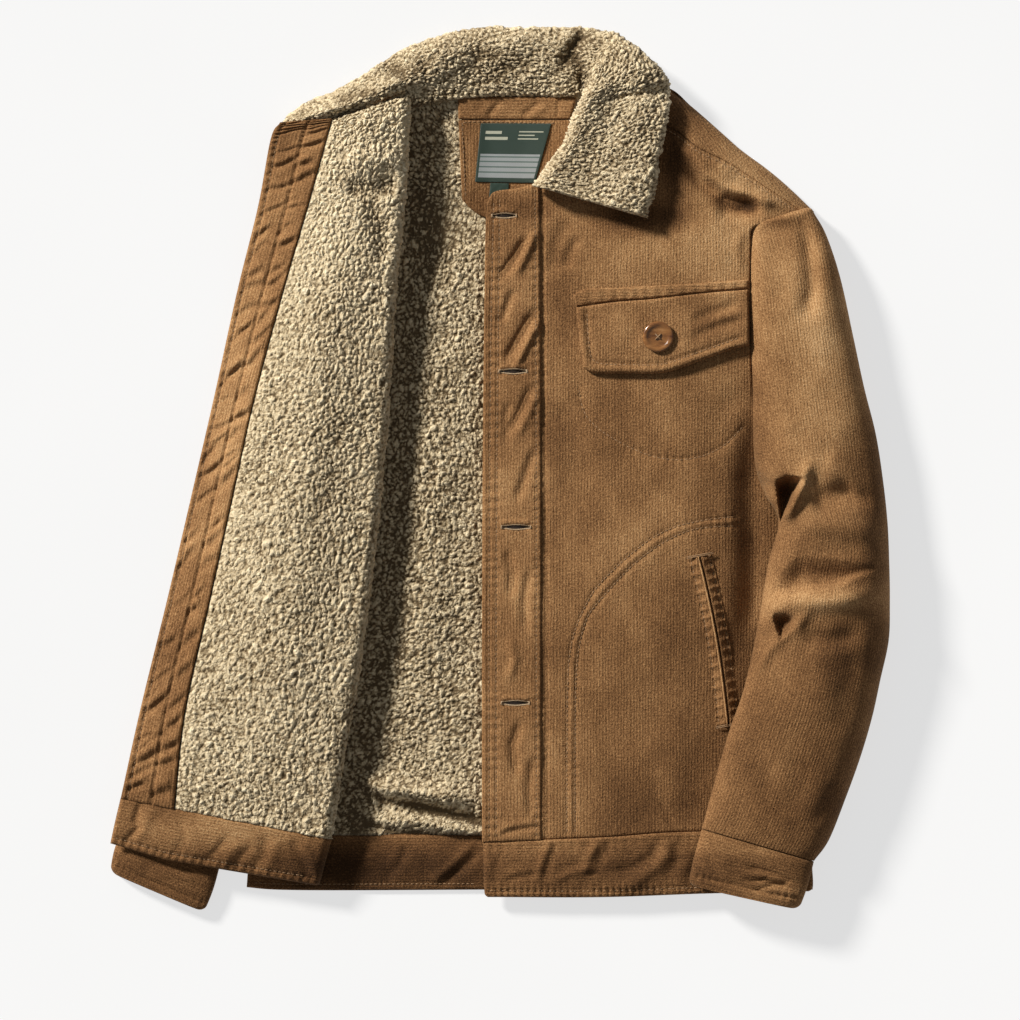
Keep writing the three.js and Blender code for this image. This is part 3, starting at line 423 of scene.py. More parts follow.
def two_faced(name, top, bottom, cut, shade=None, stride=4):
    """A closed thin shell: a fine upper grid and a coarse lower one that share the rim."""
    rows, columns = top.shape[:2]
    fine = np.arange(rows * columns).reshape(rows, columns)
    keep_rows = np.unique(np.r_[np.arange(0, rows - 1, stride), rows - 1])
    keep_columns = np.unique(np.r_[np.arange(0, columns - 1, stride), columns - 1])
    inner = fine[np.ix_(keep_rows, keep_columns)].copy()
    inside = (slice(1, -1), slice(1, -1))
    inner[inside] = rows * columns + np.arange(inner[inside].size).reshape(inner[inside].shape)
    pick = np.ix_(keep_rows[1:-1], keep_columns[1:-1])
    points = np.concatenate([top.reshape(-1, 3), bottom[pick].reshape(-1, 3)])
    cuts = np.concatenate([cut.reshape(-1, 2), cut[pick].reshape(-1, 2)])
    if shade is not None:
        shade = np.concatenate([shade.ravel(), np.full(inner[inside].size, 0.5)])
    a, b, c = top[rows // 2, columns // 3], top[rows // 2, columns // 3 + 1], top[rows // 2 + 1, columns // 3]
    upper = grid_faces(rows, columns)
    lower = [f[:, ::-1] for f in coarse_faces(fine, inner, keep_rows, keep_columns)]
    faces = [upper] + lower
    if np.cross(b - a, c - a)[2] < 0:
        faces = [f[:, ::-1] for f in faces]
    return make_mesh(name, points, faces, cuts, shade)


def spread(length, step, radius):
    """Parameters from 0 to 1 about `step` apart, closer over the rounded rim at each end."""
    start, end = radius if isinstance(radius, tuple) else (radius, radius)
    rim = np.array([0, 0.06, 0.22, 0.5])
    middle = np.linspace(start / length, 1 - end / length, max(3, int(round(length / step))))
    return np.concatenate([rim * start / length, middle, 1 - rim[::-1] * end / length])


def patch(bottom, top, left, right):
    """Plan points inside four edges: bottom and top run left to right, left and right run upwards."""
    def at(u, v):
        b, t, l, r = bottom(u), top(u), left(v), right(v)
        u, v = u[..., None], v[..., None]
        corner = (1 - u) * (1 - v) * bottom(0) + u * (1 - v) * bottom(1)
        corner = corner + (1 - u) * v * top(0) + u * v * top(1)
        return (1 - v) * b + v * t + (1 - u) * l + u * r - corner
    at.size = (0.5 * (bottom.length + top.length), 0.5 * (left.length + right.length))
    return at


def rim_round(us, vs, size, radii):
    """How far the wall is open at each grid point: 0 on the rim and 1 from a side's radius in."""
    left, right, bottom, top = radii
    across = np.minimum(us * size[0] / left, (1 - us) * size[0] / right)
    along = np.minimum(vs * size[1] / bottom, (1 - vs) * size[1] / top)
    inside = np.clip(np.minimum(across[None, :], along[:, None]), 0, 1)
    return np.sqrt(1 - (1 - inside) ** 2)


def panel(name, plan, step, upper, lower, radius, middle=0.5, cut=None, shade=None):
    """A thin panel over a plan with rounded rims, `radius` for all or (left, right, bottom, top).

    `middle` is the height of the rim in the wall, 0 to 1.
    """
    radii = radius if isinstance(radius, tuple) else (radius,) * 4
    us, vs = spread(plan.size[0], step, radii[:2]), spread(plan.size[1], step, radii[2:])
    u, v = np.meshgrid(us, vs)
    flat = plan(u, v)
    x, y = flat[..., 0], flat[..., 1]
    top, under = upper(x, y, u, v), lower(x, y, u, v)
    rim = lerp(under, top, middle)
    open_wall = rim_round(us, vs, plan.size, radii)
    top, under = lerp(rim, top, open_wall), lerp(rim, under, open_wall)
    cuts = flat if cut is None else cut(x, y, u, v)
    tone = None if shade is None else shade(x, y, u, v)
    return two_faced(name, np.dstack([x, y, top]), np.dstack([x, y, under]), cuts, tone)


def surface_normals(points):
    """Unit normals of a grid of points."""
    down = np.gradient(points, axis=0)
    right = np.gradient(points, axis=1)
    normal = np.cross(right, down)
    return normal / np.maximum(np.linalg.norm(normal, axis=-1, keepdims=True), 1e-9)


# Materials

def socket(node, name, value):
    node.inputs[name].default_value = value


class Shader:
    """A material's node tree, with short ways to add nodes."""

    def __init__(self, name):
        self.material = bpy.data.materials.new(name)
        self.material.use_nodes = True
        self.tree = self.material.node_tree
        self.surface = self.tree.nodes["Principled BSDF"]

    def add(self, kind, **settings):
        node = self.tree.nodes.new(kind)
        for key, value in settings.items():
            setattr(node, key, value)
        return node

    def link(self, source, target):
        self.tree.links.new(source, target)

    def math(self, operation, a, b=0.0, c=0.0):
        node = self.add("ShaderNodeMath", operation=operation)
        for k, value in enumerate((a, b, c)):
            if isinstance(value, (int, float)):
                node.inputs[k].default_value = value
            else:
                self.link(value, node.inputs[k])
        return node.outputs[0]

    def noise(self, vector, scale, detail=2.0, rough=0.5):
        node = self.add("ShaderNodeTexNoise")
        socket(node, "Scale", scale)
        socket(node, "Detail", detail)
        socket(node, "Roughness", rough)
        self.link(vector, node.inputs["Vector"])
        return node.outputs["Fac"]

    def scaled(self, vector, scale):
        node = self.add("ShaderNodeMapping")
        socket(node, "Scale", scale)
        self.link(vector, node.inputs["Vector"])
        return node.outputs[0]

    def ramp(self, factor, *stops):
        node = self.add("ShaderNodeValToRGB")
        elements = node.color_ramp.elements
        while len(elements) < len(stops):
            elements.new(0.5)
        for element, (place, colour) in zip(elements, stops):
            element.position = place
            element.color = (*colour, 1)
        self.link(factor, node.inputs["Fac"])
        return node.outputs["Color"]

    def mix(self, factor, a, b, blend="MIX"):
        node = self.add("ShaderNodeMix", data_type="RGBA", blend_type=blend)
        for key, value in (("Factor", factor), ("A", a), ("B", b)):
            target = next(s for s in node.inputs if s.name == key and s.enabled)
            if isinstance(value, (int, float)):
                target.default_value = value
            elif isinstance(value, tuple):
                target.default_value = (*value, 1)
            else:
                self.link(value, target)
        return next(s for s in node.outputs if s.enabled)

    def bump(self, height, strength, distance):
        node = self.add("ShaderNodeBump")
        socket(node, "Strength", strength)
        socket(node, "Distance", distance)
        self.link(height, node.inputs["Height"])
        self.link(node.outputs[0], self.surface.inputs["Normal"])


WALE = 2.6 * MM


def corduroy_material(name):
    """Fine corduroy: ridges along the second cut coordinate with slightly lighter tops, and a brushed nap; its
    lightness follows the `shade` attribute, which holds nap tone with painted shade and painted highlights.
    """
    s = Shader(name)
    cut = s.add("ShaderNodeUVMap", uv_map="cut").outputs[0]
    shade = s.add("ShaderNodeAttribute", attribute_name="shade").outputs["Fac"]
    split = s.add("ShaderNodeSeparateXYZ")
    s.link(cut, split.inputs[0])
    waver = s.noise(s.scaled(cut, (90, 22, 1)), 1.0, 3.0)
    across = s.math("ADD", split.outputs[0], s.math("MULTIPLY", waver, 0.003))
    wave = s.math("SINE", s.math("MULTIPLY", across, 2 * math.pi / WALE))
    streaks = s.noise(s.scaled(cut, (520, 60, 1)), 1.0, 3.0, 0.6)
    clumps = s.noise(s.scaled(cut, (300, 150, 1)), 1.0, 3.0, 0.7)
    speckle = s.noise(s.scaled(cut, (760, 620, 1)), 1.0, 2.0, 0.6)
    grain = s.noise(s.scaled(cut, (1700, 1400, 1)), 1.0, 1.0, 0.6)
    mottle = s.noise(s.scaled(cut, (45, 22, 1)), 1.0, 4.0, 0.65)
    level = shade
    for fact, amount in ((wave, 0.03), (streaks, 0.2), (clumps, 0.3), (speckle, 0.9), (grain, 0.6),
                         (mottle, 0.34)):
        centred = fact if fact is wave else s.math("SUBTRACT", fact, 0.5)
        level = s.math("MULTIPLY_ADD", centred, amount, level)
    colour = s.ramp(level, (0.08, (0.04, 0.018, 0.007)), (0.36, (0.13, 0.061, 0.023)),
                    (0.56, (0.245, 0.123, 0.049)), (0.76, (0.39, 0.218, 0.094)), (1.0, (0.6, 0.38, 0.19)))
    s.link(colour, s.surface.inputs["Base Color"])
    height = s.math("MULTIPLY_ADD", wave, 0.17, s.math("MULTIPLY_ADD", speckle, 1.6, streaks))
    s.bump(height, 0.7, 0.0007)
    socket(s.surface, "Roughness", 0.92)
    socket(s.surface, "Specular IOR Level", 0.12)
    socket(s.surface, "Sheen Weight", 0.12)
    socket(s.surface, "Sheen Roughness", 0.4)
    socket(s.surface, "Sheen Tint", (1.0, 0.72, 0.42, 1))
    return s.material


def pile_material():
    """Curly pile: pale crowns, painted shade darkening the crevices to warm near-black, and fine fibres over each
    curl.
    """
    s = Shader("pile")
    crown = s.add("ShaderNodeAttribute", attribute_name="shade").outputs["Fac"]
    place = s.add("ShaderNodeTexCoord").outputs["Object"]
    fibres = s.add("ShaderNodeTexNoise")
    for key, value in (("Scale", 620), ("Detail", 3.0), ("Roughness", 0.6), ("Distortion", 1.4)):
        socket(fibres, key, value)
    s.link(place, fibres.inputs["Vector"])
    fibres = fibres.outputs["Fac"]
    patchy = s.noise(place, 22, 3.0)
    blotch = s.noise(place, 210, 2.0)
    bend = s.add("ShaderNodeTexNoise")
    socket(bend, "Scale", 260)
    s.link(place, bend.inputs["Vector"])
    bent = s.add("ShaderNodeVectorMath", operation="MULTIPLY_ADD")
    bent.inputs[1].default_value = (0.006, 0.006, 0.006)
    s.link(bend.outputs["Color"], bent.inputs[0])
    s.link(place, bent.inputs[2])
    tufts = s.add("ShaderNodeTexVoronoi", feature="SMOOTH_F1")
    socket(tufts, "Scale", 340)
    socket(tufts, "Smoothness", 0.3)
    s.link(bent.outputs[0], tufts.inputs["Vector"])
    tuft = tufts.outputs["Distance"]
    level = s.math("MULTIPLY_ADD", s.math("SUBTRACT", fibres, 0.5), 0.5, crown)
    level = s.math("MULTIPLY_ADD", s.math("SUBTRACT", 0.42, tuft), 0.55, level)
    level = s.math("MULTIPLY_ADD", s.math("SUBTRACT", blotch, 0.5), 0.2, level)
    level = s.math("MULTIPLY_ADD", s.math("SUBTRACT", patchy, 0.5), 0.35, level)
    colour = s.ramp(level, (0.0, (0.12, 0.08, 0.04)), (0.18, (0.3, 0.222, 0.125)), (0.4, (0.6, 0.48, 0.305)),
                    (0.66, (0.74, 0.61, 0.4)), (1.0, (0.82, 0.72, 0.51)))
    s.link(colour, s.surface.inputs["Base Color"])
    s.bump(s.math("MULTIPLY_ADD", tuft, -1.1, s.math("MULTIPLY", fibres, 0.55)), 0.75, 0.0017)
    socket(s.surface, "Roughness", 0.95)
    socket(s.surface, "Specular IOR Level", 0.08)
    socket(s.surface, "Sheen Weight", 0.25)
    socket(s.surface, "Sheen Roughness", 0.5)
    socket(s.surface, "Sheen Tint", (1.0, 0.88, 0.68, 1))
    return s.material


def thread_material(name, low, high):
    s = Shader(name)
    place = s.add("ShaderNodeTexCoord").outputs["Object"]
    twist = s.noise(place, 1800, 2.0)
    s.link(s.ramp(twist, (0.3, low), (0.7, high)), s.surface.inputs["Base Color"])
    s.bump(twist, 0.4, 0.0002)
    socket(s.surface, "Roughness", 0.6)
    socket(s.surface, "Sheen Weight", 0.1)
    return s.material


def horn_material():
    """Polished brown horn with soft darker streaks."""
    s = Shader("horn")
    place = s.add("ShaderNodeTexCoord").outputs["Object"]
    streaks = s.noise(s.scaled(place, (60, 200, 60)), 1.0, 4.0, 0.6)
    colour = s.ramp(streaks, (0.3, (0.085, 0.028, 0.008)), (0.55, (0.25, 0.105, 0.03)), (0.8, (0.44, 0.22, 0.08)))
    s.link(colour, s.surface.inputs["Base Color"])
    s.bump(streaks, 0.1, 0.0002)
    socket(s.surface, "Roughness", 0.22)
    socket(s.surface, "Coat Weight", 0.6)
    socket(s.surface, "Coat Roughness", 0.12)
    return s.material


def hole_shade_material():
    """Painted shade: a near-black surface standing in for the shaded inside of a slit or thread hole, with a trace of
    the cloth.
    """
    s = Shader("hollow")
    place = s.add("ShaderNodeTexCoord").outputs["Object"]
    s.link(s.ramp(s.noise(place, 900, 2.0), (0.3, (0.006, 0.004, 0.003)), (0.8, (0.03, 0.016, 0.008))),
           s.surface.inputs["Base Color"])
    socket(s.surface, "Roughness", 1.0)
    return s.material


def label_material():
    """Woven label: dark green ground, a pale field below and plain pale bars, on a fine thread relief."""
    s = Shader("woven_label")
    cut = s.add("ShaderNodeUVMap", uv_map="cut").outputs[0]
    split = s.add("ShaderNodeSeparateXYZ")
    s.link(cut, split.inputs[0])
    u = s.math("MULTIPLY", split.outputs[0], 1000)
    v = s.math("MULTIPLY", split.outputs[1], 1000)

    def block(u0, u1, v0, v1):
        inside = s.math("MULTIPLY", s.math("GREATER_THAN", u, u0), s.math("LESS_THAN", u, u1))
        rows = s.math("MULTIPLY", s.math("GREATER_THAN", v, v0), s.math("LESS_THAN", v, v1))
        return s.math("MULTIPLY", inside, rows)

    field = block(2.5, 57.5, 4, 24)
    bars = [block(5, 25, 36, 38.5), block(5, 19, 41, 43.5), block(34, 55, 42.5, 43.5),
            block(34, 48, 39.5, 40.5), block(34, 52, 36.5, 37.5)]
    ribs = [block(2.5, 57.5, at, at + 1.2) for at in (8, 12.5, 17, 21)]
    colour = s.mix(field, (0.012, 0.034, 0.021), (0.34, 0.36, 0.36))
    for rib in ribs:
        colour = s.mix(rib, colour, (0.1, 0.15, 0.13))
    for bar in bars:
        colour = s.mix(bar, colour, (0.5, 0.5, 0.38))
    weft = s.math("SINE", s.math("MULTIPLY", v, 2 * math.pi / 0.7))
    warp = s.math("SINE", s.math("MULTIPLY", u, 2 * math.pi / 0.9))
    weave = s.math("MULTIPLY_ADD", s.math("MULTIPLY", weft, warp), 0.5, 0.5)
    shaded = s.mix(s.math("MULTIPLY", weave, 0.3), colour, (0.01, 0.02, 0.012))
    s.link(shaded, s.surface.inputs["Base Color"])
    s.bump(weave, 0.4, 0.0003)
    socket(s.surface, "Roughness", 0.55)
    socket(s.surface, "Sheen Weight", 0.15)
    return s.material


CLOTH = corduroy_material("corduroy")
PILE_CLOTH = pile_material()
THREAD = thread_material("thread", (0.15, 0.078, 0.03), (0.36, 0.215, 0.1))
PALE_THREAD = thread_material("pale_thread", (0.34, 0.22, 0.12), (0.62, 0.46, 0.28))
HORN = horn_material()
WOVEN = label_material()
HOLE_SHADE = hole_shade_material()


# Stitching

STITCH = 3.0
STITCH_PITCH = 3.9
THREAD_WIDTH = 0.75


def stitch_mesh(name, runs):
    """Short rounded stitches along runs of points on the cloth: rows of [x, y, z]."""
    points, faces = [], []
    ring = np.linspace(0, 2 * np.pi, 6, endpoint=False)
    profile = [(-0.5, 0.25, -0.5), (-0.36, 0.85, 0.1), (0, 1, 0.35), (0.36, 0.85, 0.1), (0.5, 0.25, -0.5)]
    for line in runs:
        line = np.asarray(line, float)
        length = np.r_[0, np.cumsum(np.linalg.norm(np.diff(line, axis=0), axis=1))]
        count = max(1, int(length[-1] / STITCH_PITCH))
        centres = (np.arange(count) + 0.5) * length[-1] / count
        at = lambda d: np.stack([np.interp(d, length, line[:, k]) for k in range(3)], -1)
        for centre in centres:
            a, b = at(centre - STITCH / 2), at(centre + STITCH / 2)
            along = (b - a) / max(np.linalg.norm(b - a), 1e-6)
            side = np.cross((0, 0, 1), along)
            side /= max(np.linalg.norm(side), 1e-6)
            up = np.cross(along, side)
            start = len(points)
            for reach, width, lift in profile:
                middle = (a + b) / 2 + along * reach * STITCH + up * lift * THREAD_WIDTH * 0.6
                for angle in ring:
                    r = THREAD_WIDTH / 2 * width
                    points.append(middle + side * r * math.cos(angle) + up * r * 0.8 * math.sin(angle))
            for j in range(len(profile) - 1):
                for i in range(6):
                    k = (i + 1) % 6
                    faces.append((start + 6 * j + i, start + 6 * j + k, start + 6 * j + 6 + k, start + 6 * j + 6 + i))
            points += [points[start:start + 6][0] * 0 + np.mean(points[start:start + 6], axis=0)]
            points += [np.mean(points[start + 24:start + 30], axis=0)]
            for i in range(6):
                k = (i + 1) % 6
                faces.append((start + 30, start + k, start + i, start + i))
                faces.append((start + 31, start + 24 + i, start + 24 + k, start + 24 + k))
    quads = np.array([f for f in faces if f[2] != f[3]])
    ends = np.array([f[:3] for f in faces if f[2] == f[3]])
    return settle(make_mesh(name, points, [quads, ends]), None, "corduroy", THREAD)


def on_height(line, height, lift=0.15, step=1.0):
    """Points of a plan line laid on a height."""
    curve = edge(line)
    plan = curve(np.linspace(0, 1, max(4, int(curve.length / step))))
    z = height(plan[:, 0], plan[:, 1]) + lift
    return np.column_stack([plan, z])


# Left front: outline, stitching lines and creases

SHOULDER_SEAM = [
    (100, 297.5), (124, 293.5), (147, 289), (170, 272), (191, 262),
    (212, 249), (227, 239), (247, 226), (256, 219.6),
]
FRONT_NECK = [(-10, 225), (-7, 232), (-1, 235), (31, 241), (46, 252), (62, 276), (78, 301)]
FRONT_BOTTOM = [(-13, -316.5), (37, -314.5), (102, -311.5), (139, -308.5), (170, -307.5), (263, -304.5)]
ARMHOLE = [(242, -50), (233, -24), (222, 1), (218, 34), (215, 77), (213, 120), (213, 159), (213.6, 190)]
front_plan = patch(
    bottom=edge(FRONT_BOTTOM),
    top=edge(FRONT_NECK + SHOULDER_SEAM),
    left=edge([(-13, -316.5), (-13, -111), (-12, 59), (-11, 144), (-10, 225)]),
    right=edge([(263, -304.5), (264, -190), (260, -66)] + ARMHOLE
               + [(214, 201), (217, 205), (237, 211), (247, 215.5), (256, 219.6)]),
)

POCKET_BAG = [
    (68, 68), (71, 53), (76, 43), (88, 32), (110, 19), (131, 11), (153, 8), (175, 12), (192, 21), (207, 36),
]
ARCH_OUTER = [
    (200, -40), (175, -43), (149, -49), (129, -59), (104, -79), (81, -103), (68, -128), (62, -147),
    (59, -171), (58, -240), (58, -308),
]
ARCH_INNER = [
    (200, -48), (179, -49), (161, -52), (138, -63), (115, -80), (92, -104), (76, -124), (69, -147),
    (66, -171), (65, -240), (65, -308),
]
PLACKET_SIDE = [(41, -312), (41, -100), (39, 60), (38, 150), (38, 232)]
FRONT_STITCHES = [POCKET_BAG, ARCH_OUTER, ARCH_INNER, PLACKET_SIDE]
SHOULDER_STITCH = [(x - 1.6, y - 3) for x, y in SHOULDER_SEAM]
SLIT_TOP = (170, -73)
SLIT_END = (195, -217)
FRONT_CREASES = [
    ([(68, 200), (60, 182), (56, 168)], 2.4, 5),
    ([(60, 214), (50, 190), (44, 160)], 1.8, 7),
    ([(84, 232), (120, 214), (150, 190)], 1.2, 12),
    ([(50, 60), (64, 30), (70, -20)], 1.2, 12),
    ([(90, 0), (120, -20), (160, -30)], 1.0, 14),
    ([(208, 70), (190, 50), (184, 10)], 1.8, 12),
    ([(220, 70), (212, -10), (214, -60), (214, -110), (206, -170)], 5.0, 12),
    ([(120, -130), (128, -180), (124, -240)], 0.9, 16),
    ([(90, -180), (96, -230), (92, -290)], 1.0, 12),
    ([(150, -200), (152, -250), (146, -300)], -1.0, 12),
    ([(134, -280), (142, -290), (150, -300)], 1.0, 3),
    ([(160, 210), (180, 190), (200, 172)], -1.2, 12),
    ([(74, -20), (84, -60), (80, -100)], -0.8, 12),
    ([(150, 268), (172, 243), (188, 230), (203, 225), (217, 223)], 6.5, 6.5),
    ([(160, 268), (176, 250), (194, 238), (216, 231), (250, 219)], -4.0, 4.5),
    ([(128, 286), (160, 268), (196, 247), (226, 233)], -1.2, 4),
    ([(206, 205), (202, 186), (206, 166)], -1.0, 4),
]
ARCH_MIDDLE = [tuple((a + b) / 2 for a, b in zip(p, q)) for p, q in zip(ARCH_OUTER, ARCH_INNER)]


def front_relief(x, y):
    """Finer form of the left front's outer face, over its solid's face."""
    soft = 0.5 * soft_noise(x, y, 34, 3) + 0.25 * soft_noise(x, y, 15, 4)
    rolled = -fold_depth(FRONT_CREASES, x, y) + soft * smoothstep(y, -330, -300)
    bag = nearest(POCKET_BAG, x, y)[0]
    welt = 0.5 * np.exp(-((nearest(ARCH_MIDDLE, x, y)[0] / 2.2) ** 2))
    seams = seam_relief(FRONT_STITCHES, x, y) + seam_relief([SHOULDER_STITCH], x, y, 0.8, 1.6)
    return rolled + seams + welt - 0.5 * np.exp(-((bag / 7) ** 2))


def front_top(x, y):
    return solid_front(x, y) + front_relief(x, y)


def build_front():
    piece = panel(
        "left_front_cloth", front_plan, 1.75,
        upper=lambda x, y, u, v: front_top(x, y),
        lower=lambda x, y, u, v: front_under(x, y),
        radius=(5, 1.6, 1.6, 1.4), middle=0.35,
    )
    settle(piece, "left_front", "corduroy", CLOTH)

    overlap = 0.9
    bottom = [(x, y - overlap) for x, y in [(80.5, 301.5)] + SHOULDER_SEAM + [(265, 216)]]
    top = [(82, 329), (144, 324), (163, 309), (186, 289), (205, 272), (228, 255), (248, 238), (268, 218.6)]
    plan = patch(edge(bottom), edge(top), edge([(80.5, 300.6), (82, 329)]), edge([(265, 215.1), (268, 218.6)]))
    slope = math.radians(-36)

    def diagonal(x, y, u, v):
        return np.dstack([x * math.cos(slope) - y * math.sin(slope), x * math.sin(slope) + y * math.cos(slope)])

    yoke = panel(
        "left_shoulder_yoke_cloth", plan, 2.0,
        upper=lambda x, y, u, v: front_top(x, y) + 0.7,
        lower=lambda x, y, u, v: np.maximum(front_under(x, y), BACK_SHELL + SEAM_GAP),
        radius=(2, 1.0, 1.2, 3.2), cut=diagonal,
    )
    settle(yoke, "left_shoulder_yoke", "corduroy", CLOTH)
    runs = [on_height(SHOULDER_STITCH, front_top)]
    runs += [on_height(line, front_top) for line in FRONT_STITCHES[:3]]
    stitch_mesh("front_stitches", runs)
    return piece


# Placket with its buttonholes

PLACKET_CLOTH = 2
placket_plan = patch(
    bottom=edge([(-14, -316.5), (PLACKET_SEAM, -314.5)]),
    top=edge([(-9, 227), (-5, 234.5), (17, 238.5), (PLACKET_SEAM - 1, 243)]),
    left=edge([(-14, -316.5), (-14, -111), (-13, 59), (-12, 144), (-10.5, 215), (-9, 227)]),
    right=edge([(PLACKET_SEAM, -314.5), (PLACKET_SEAM, 0), (PLACKET_SEAM - 1, 243)]),
)
PLACKET_FOLDS = [
    ([(26, 200), (14, 180), (0, 160)], 3.6, 4),
    ([(34, 206), (24, 184), (14, 162)], -3.0, 3.2),
    ([(33, 138), (18, 113), (4, 88)], 3.6, 4),
    ([(37, 130), (24, 106), (12, 82)], -3.0, 3),
    ([(14, 154), (8, 140), (2, 122)], 2.4, 3.6),
    ([(30, 74), (20, 52), (6, 26)], 2.8, 4),
    ([(34, 68), (26, 48), (14, 24)], -1.8, 3.2),
    ([(10, 60), (5, 40), (8, 16)], 1.8, 4),
    ([(32, 20), (24, -2), (14, -32)], 2.4, 4),
    ([(6, -66), (12, -86), (10, -112)], 2.4, 4),
    ([(28, -80), (22, -110), (24, -142)], 2.0, 4),
    ([(8, -140), (14, -160), (8, -182)], -2.0, 4),
    ([(20, -210), (12, -234), (16, -264)], 2.6, 4),
    ([(30, -240), (26, -270), (28, -300)], 2.0, 4),
    ([(-2, -311), (14, -306), (34, -303)], 1.4, 2.4),
    ([(-2, -306), (14, -301), (34, -299)], -0.9, 2.8),
]
BUTTONHOLES = table("x0 x1 y", (-5, 15, 215), (1, 24, 83), (3, 27, -49), (3, 26, -198))
PLACKET_SIDE_STITCH = [(-8, -312), (-8, -111), (-7, 59), (-6, 144), (-4, 226)]
PLACKET_INNER_STITCH = [(-2, -312), (-2, -111), (-1, 59), (0, 144), (1, 229)]
PLACKET_SEAM_STITCH = [(32, -311), (32, 0), (31, 238)]
PLACKET_STITCHES = [PLACKET_SIDE_STITCH, PLACKET_INNER_STITCH, PLACKET_SEAM_STITCH]


def placket_top(x, y):
    folds = fold_depth(PLACKET_FOLDS, x, y)
    seam = seam_relief(PLACKET_STITCHES, x, y, 0.8, 1.3, 0.55, 8.5)
    hole = sum(
        (2.4 * np.exp(-(((y - at) / 1.5) ** 2)) - 1.3 * np.exp(-(((y - at - 4) / 2) ** 2)))
        * smoothstep(x, a - 1, a + 2) * (1 - smoothstep(x, b - 2, b + 1))
        for a, b, at in zip(BUTTONHOLES["x0"], BUTTONHOLES["x1"], BUTTONHOLES["y"])
    )
    soft = 0.35 * soft_noise(x, y, 18, 9)
    return solid_front(x, y) + LAY_GAP + PLACKET_CLOTH - folds + seam - hole + soft


def build_placket():
    piece = panel(
        "left_placket_cloth", placket_plan, 1.5,
        upper=lambda x, y, u, v: placket_top(x, y),
        lower=lambda x, y, u, v: solid_front(x, y) + LAY_GAP - 1.2,
        radius=2.2, middle=0.3,
    )
    settle(piece, "left_placket", "corduroy", CLOTH)
    stitch_mesh("placket_stitches", [on_height(line, placket_top) for line in PLACKET_STITCHES])
    buttonhole_threads()


def buttonhole_threads():
    """A near-black lens-shaped sheet of painted shade at each buttonhole's slit, with close cross stitches round it.
    """
    points, faces, slits, slit_faces = [], [], [], []
    for a, b, at in zip(BUTTONHOLES["x0"], BUTTONHOLES["x1"], BUTTONHOLES["y"]):
        for side in (-1, 1):
            for x in np.arange(a, b, 0.8):
                bow = 1.5 * math.sin(math.pi * np.clip((x - a) / (b - a), 0.1, 0.9))
                y0, y1 = at + side * (bow - 0.3), at + side * (bow + 1.1)
                add_bar(points, faces, (x, y0), (x + 0.1, y1), placket_top, 0.36)
        add_bar(points, faces, (a - 0.6, at - 1.6), (a - 0.6, at + 1.6), placket_top, 0.5)
        add_bar(points, faces, (b + 0.2, at - 1.6), (b + 0.2, at + 1.6), placket_top, 0.5)
        x = np.linspace(a + 0.4, b - 0.4, 17)
        half = 1.6 * np.sin(np.linspace(0.12, np.pi - 0.12, 17))
        first = len(slits)
        for y in (at - half, at + half):
            slits += list(np.column_stack([x, y, placket_top(x, y) + 0.5]))
        slit_faces += [(first + i, first + i + 1, first + 18 + i, first + 17 + i) for i in range(16)]
    settle(make_mesh("buttonhole_stitches", points, [np.array(faces)]), None, "corduroy", PALE_THREAD)
    settle(make_mesh("buttonhole_slit_shade", slits, [np.array(slit_faces)]), None, "corduroy", HOLE_SHADE)


def add_bar(points, faces, start, end, height, radius, segments=4):
    """A short thread of square section laid on a height between two plan points."""
    t = np.linspace(0, 1, segments + 1)
    x, y = lerp(start[0], end[0], t), lerp(start[1], end[1], t)
    z = height(x, y) + radius * 0.9 + radius * np.sin(np.pi * t)
    heading = np.array([end[0] - start[0], end[1] - start[1]])
    side = np.array([-heading[1], heading[0]]) / np.linalg.norm(heading)
    first = len(points)
    for i in range(segments + 1):
        width = radius * (0.4 + 0.6 * math.sin(math.pi * t[i]) ** 0.5)
        for across, up in ((-1, 0), (0, -1), (1, 0), (0, 1)):
            points.append((x[i] + side[0] * across * width, y[i] + side[1] * across * width, z[i] + up * width))
    for j in range(segments):
        for i in range(4):
            k = (i + 1) % 4
            faces.append((first + 4 * j + i, first + 4 * j + k, first + 4 * j + 4 + k, first + 4 * j + 4 + i))
    faces.append((first + 3, first + 2, first + 1, first))
    last = first + 4 * segments
    faces.append((last, last + 1, last + 2, last + 3))


# Hem bands

left_hem_plan = patch(
    bottom=edge([(-9, -363), (89, -363), (176, -360), (263, -358.2)]),
    top=edge([(x, y + 0.4) for x, y in FRONT_BOTTOM]),
    left=edge([(-9, -363), (-11.5, -361), (-12, -358), (-13, -316.1)]),
    right=edge([(263, -358.2), (266.2, -356.5), (267, -353), (263, -304.1)]),
)
HEM_CROWN = 2


def along_band(x, y, u, v):
    """Wales run along a band: the first cut coordinate goes across it."""
    return np.dstack([y, x])


def pucker_folds(x0, x1, y0, y1, count, lean, depth, width, seed):
    """Uneven slanted puckers across a band between two plan heights."""
    rng = np.random.default_rng(seed)
    folds = []
    for i in range(count):
        x = lerp(x0, x1, (i + 0.5 + rng.uniform(-0.3, 0.3)) / count)
        reach = rng.uniform(0.55, 1)
        start = rng.uniform(0, 1 - reach)
        low, high = lerp(y0, y1, start), lerp(y0, y1, start + reach)
        tilt = lean * rng.uniform(0.4, 1.4)
        bend = rng.uniform(-3, 3)
        line = [(x, low), (x + tilt / 2 + bend, (low + high) / 2), (x + tilt, high)]
        folds.append((line, depth * rng.uniform(0.4, 1.2) * rng.choice([-0.7, 1]), width * rng.uniform(0.7, 1.4)))
    return folds


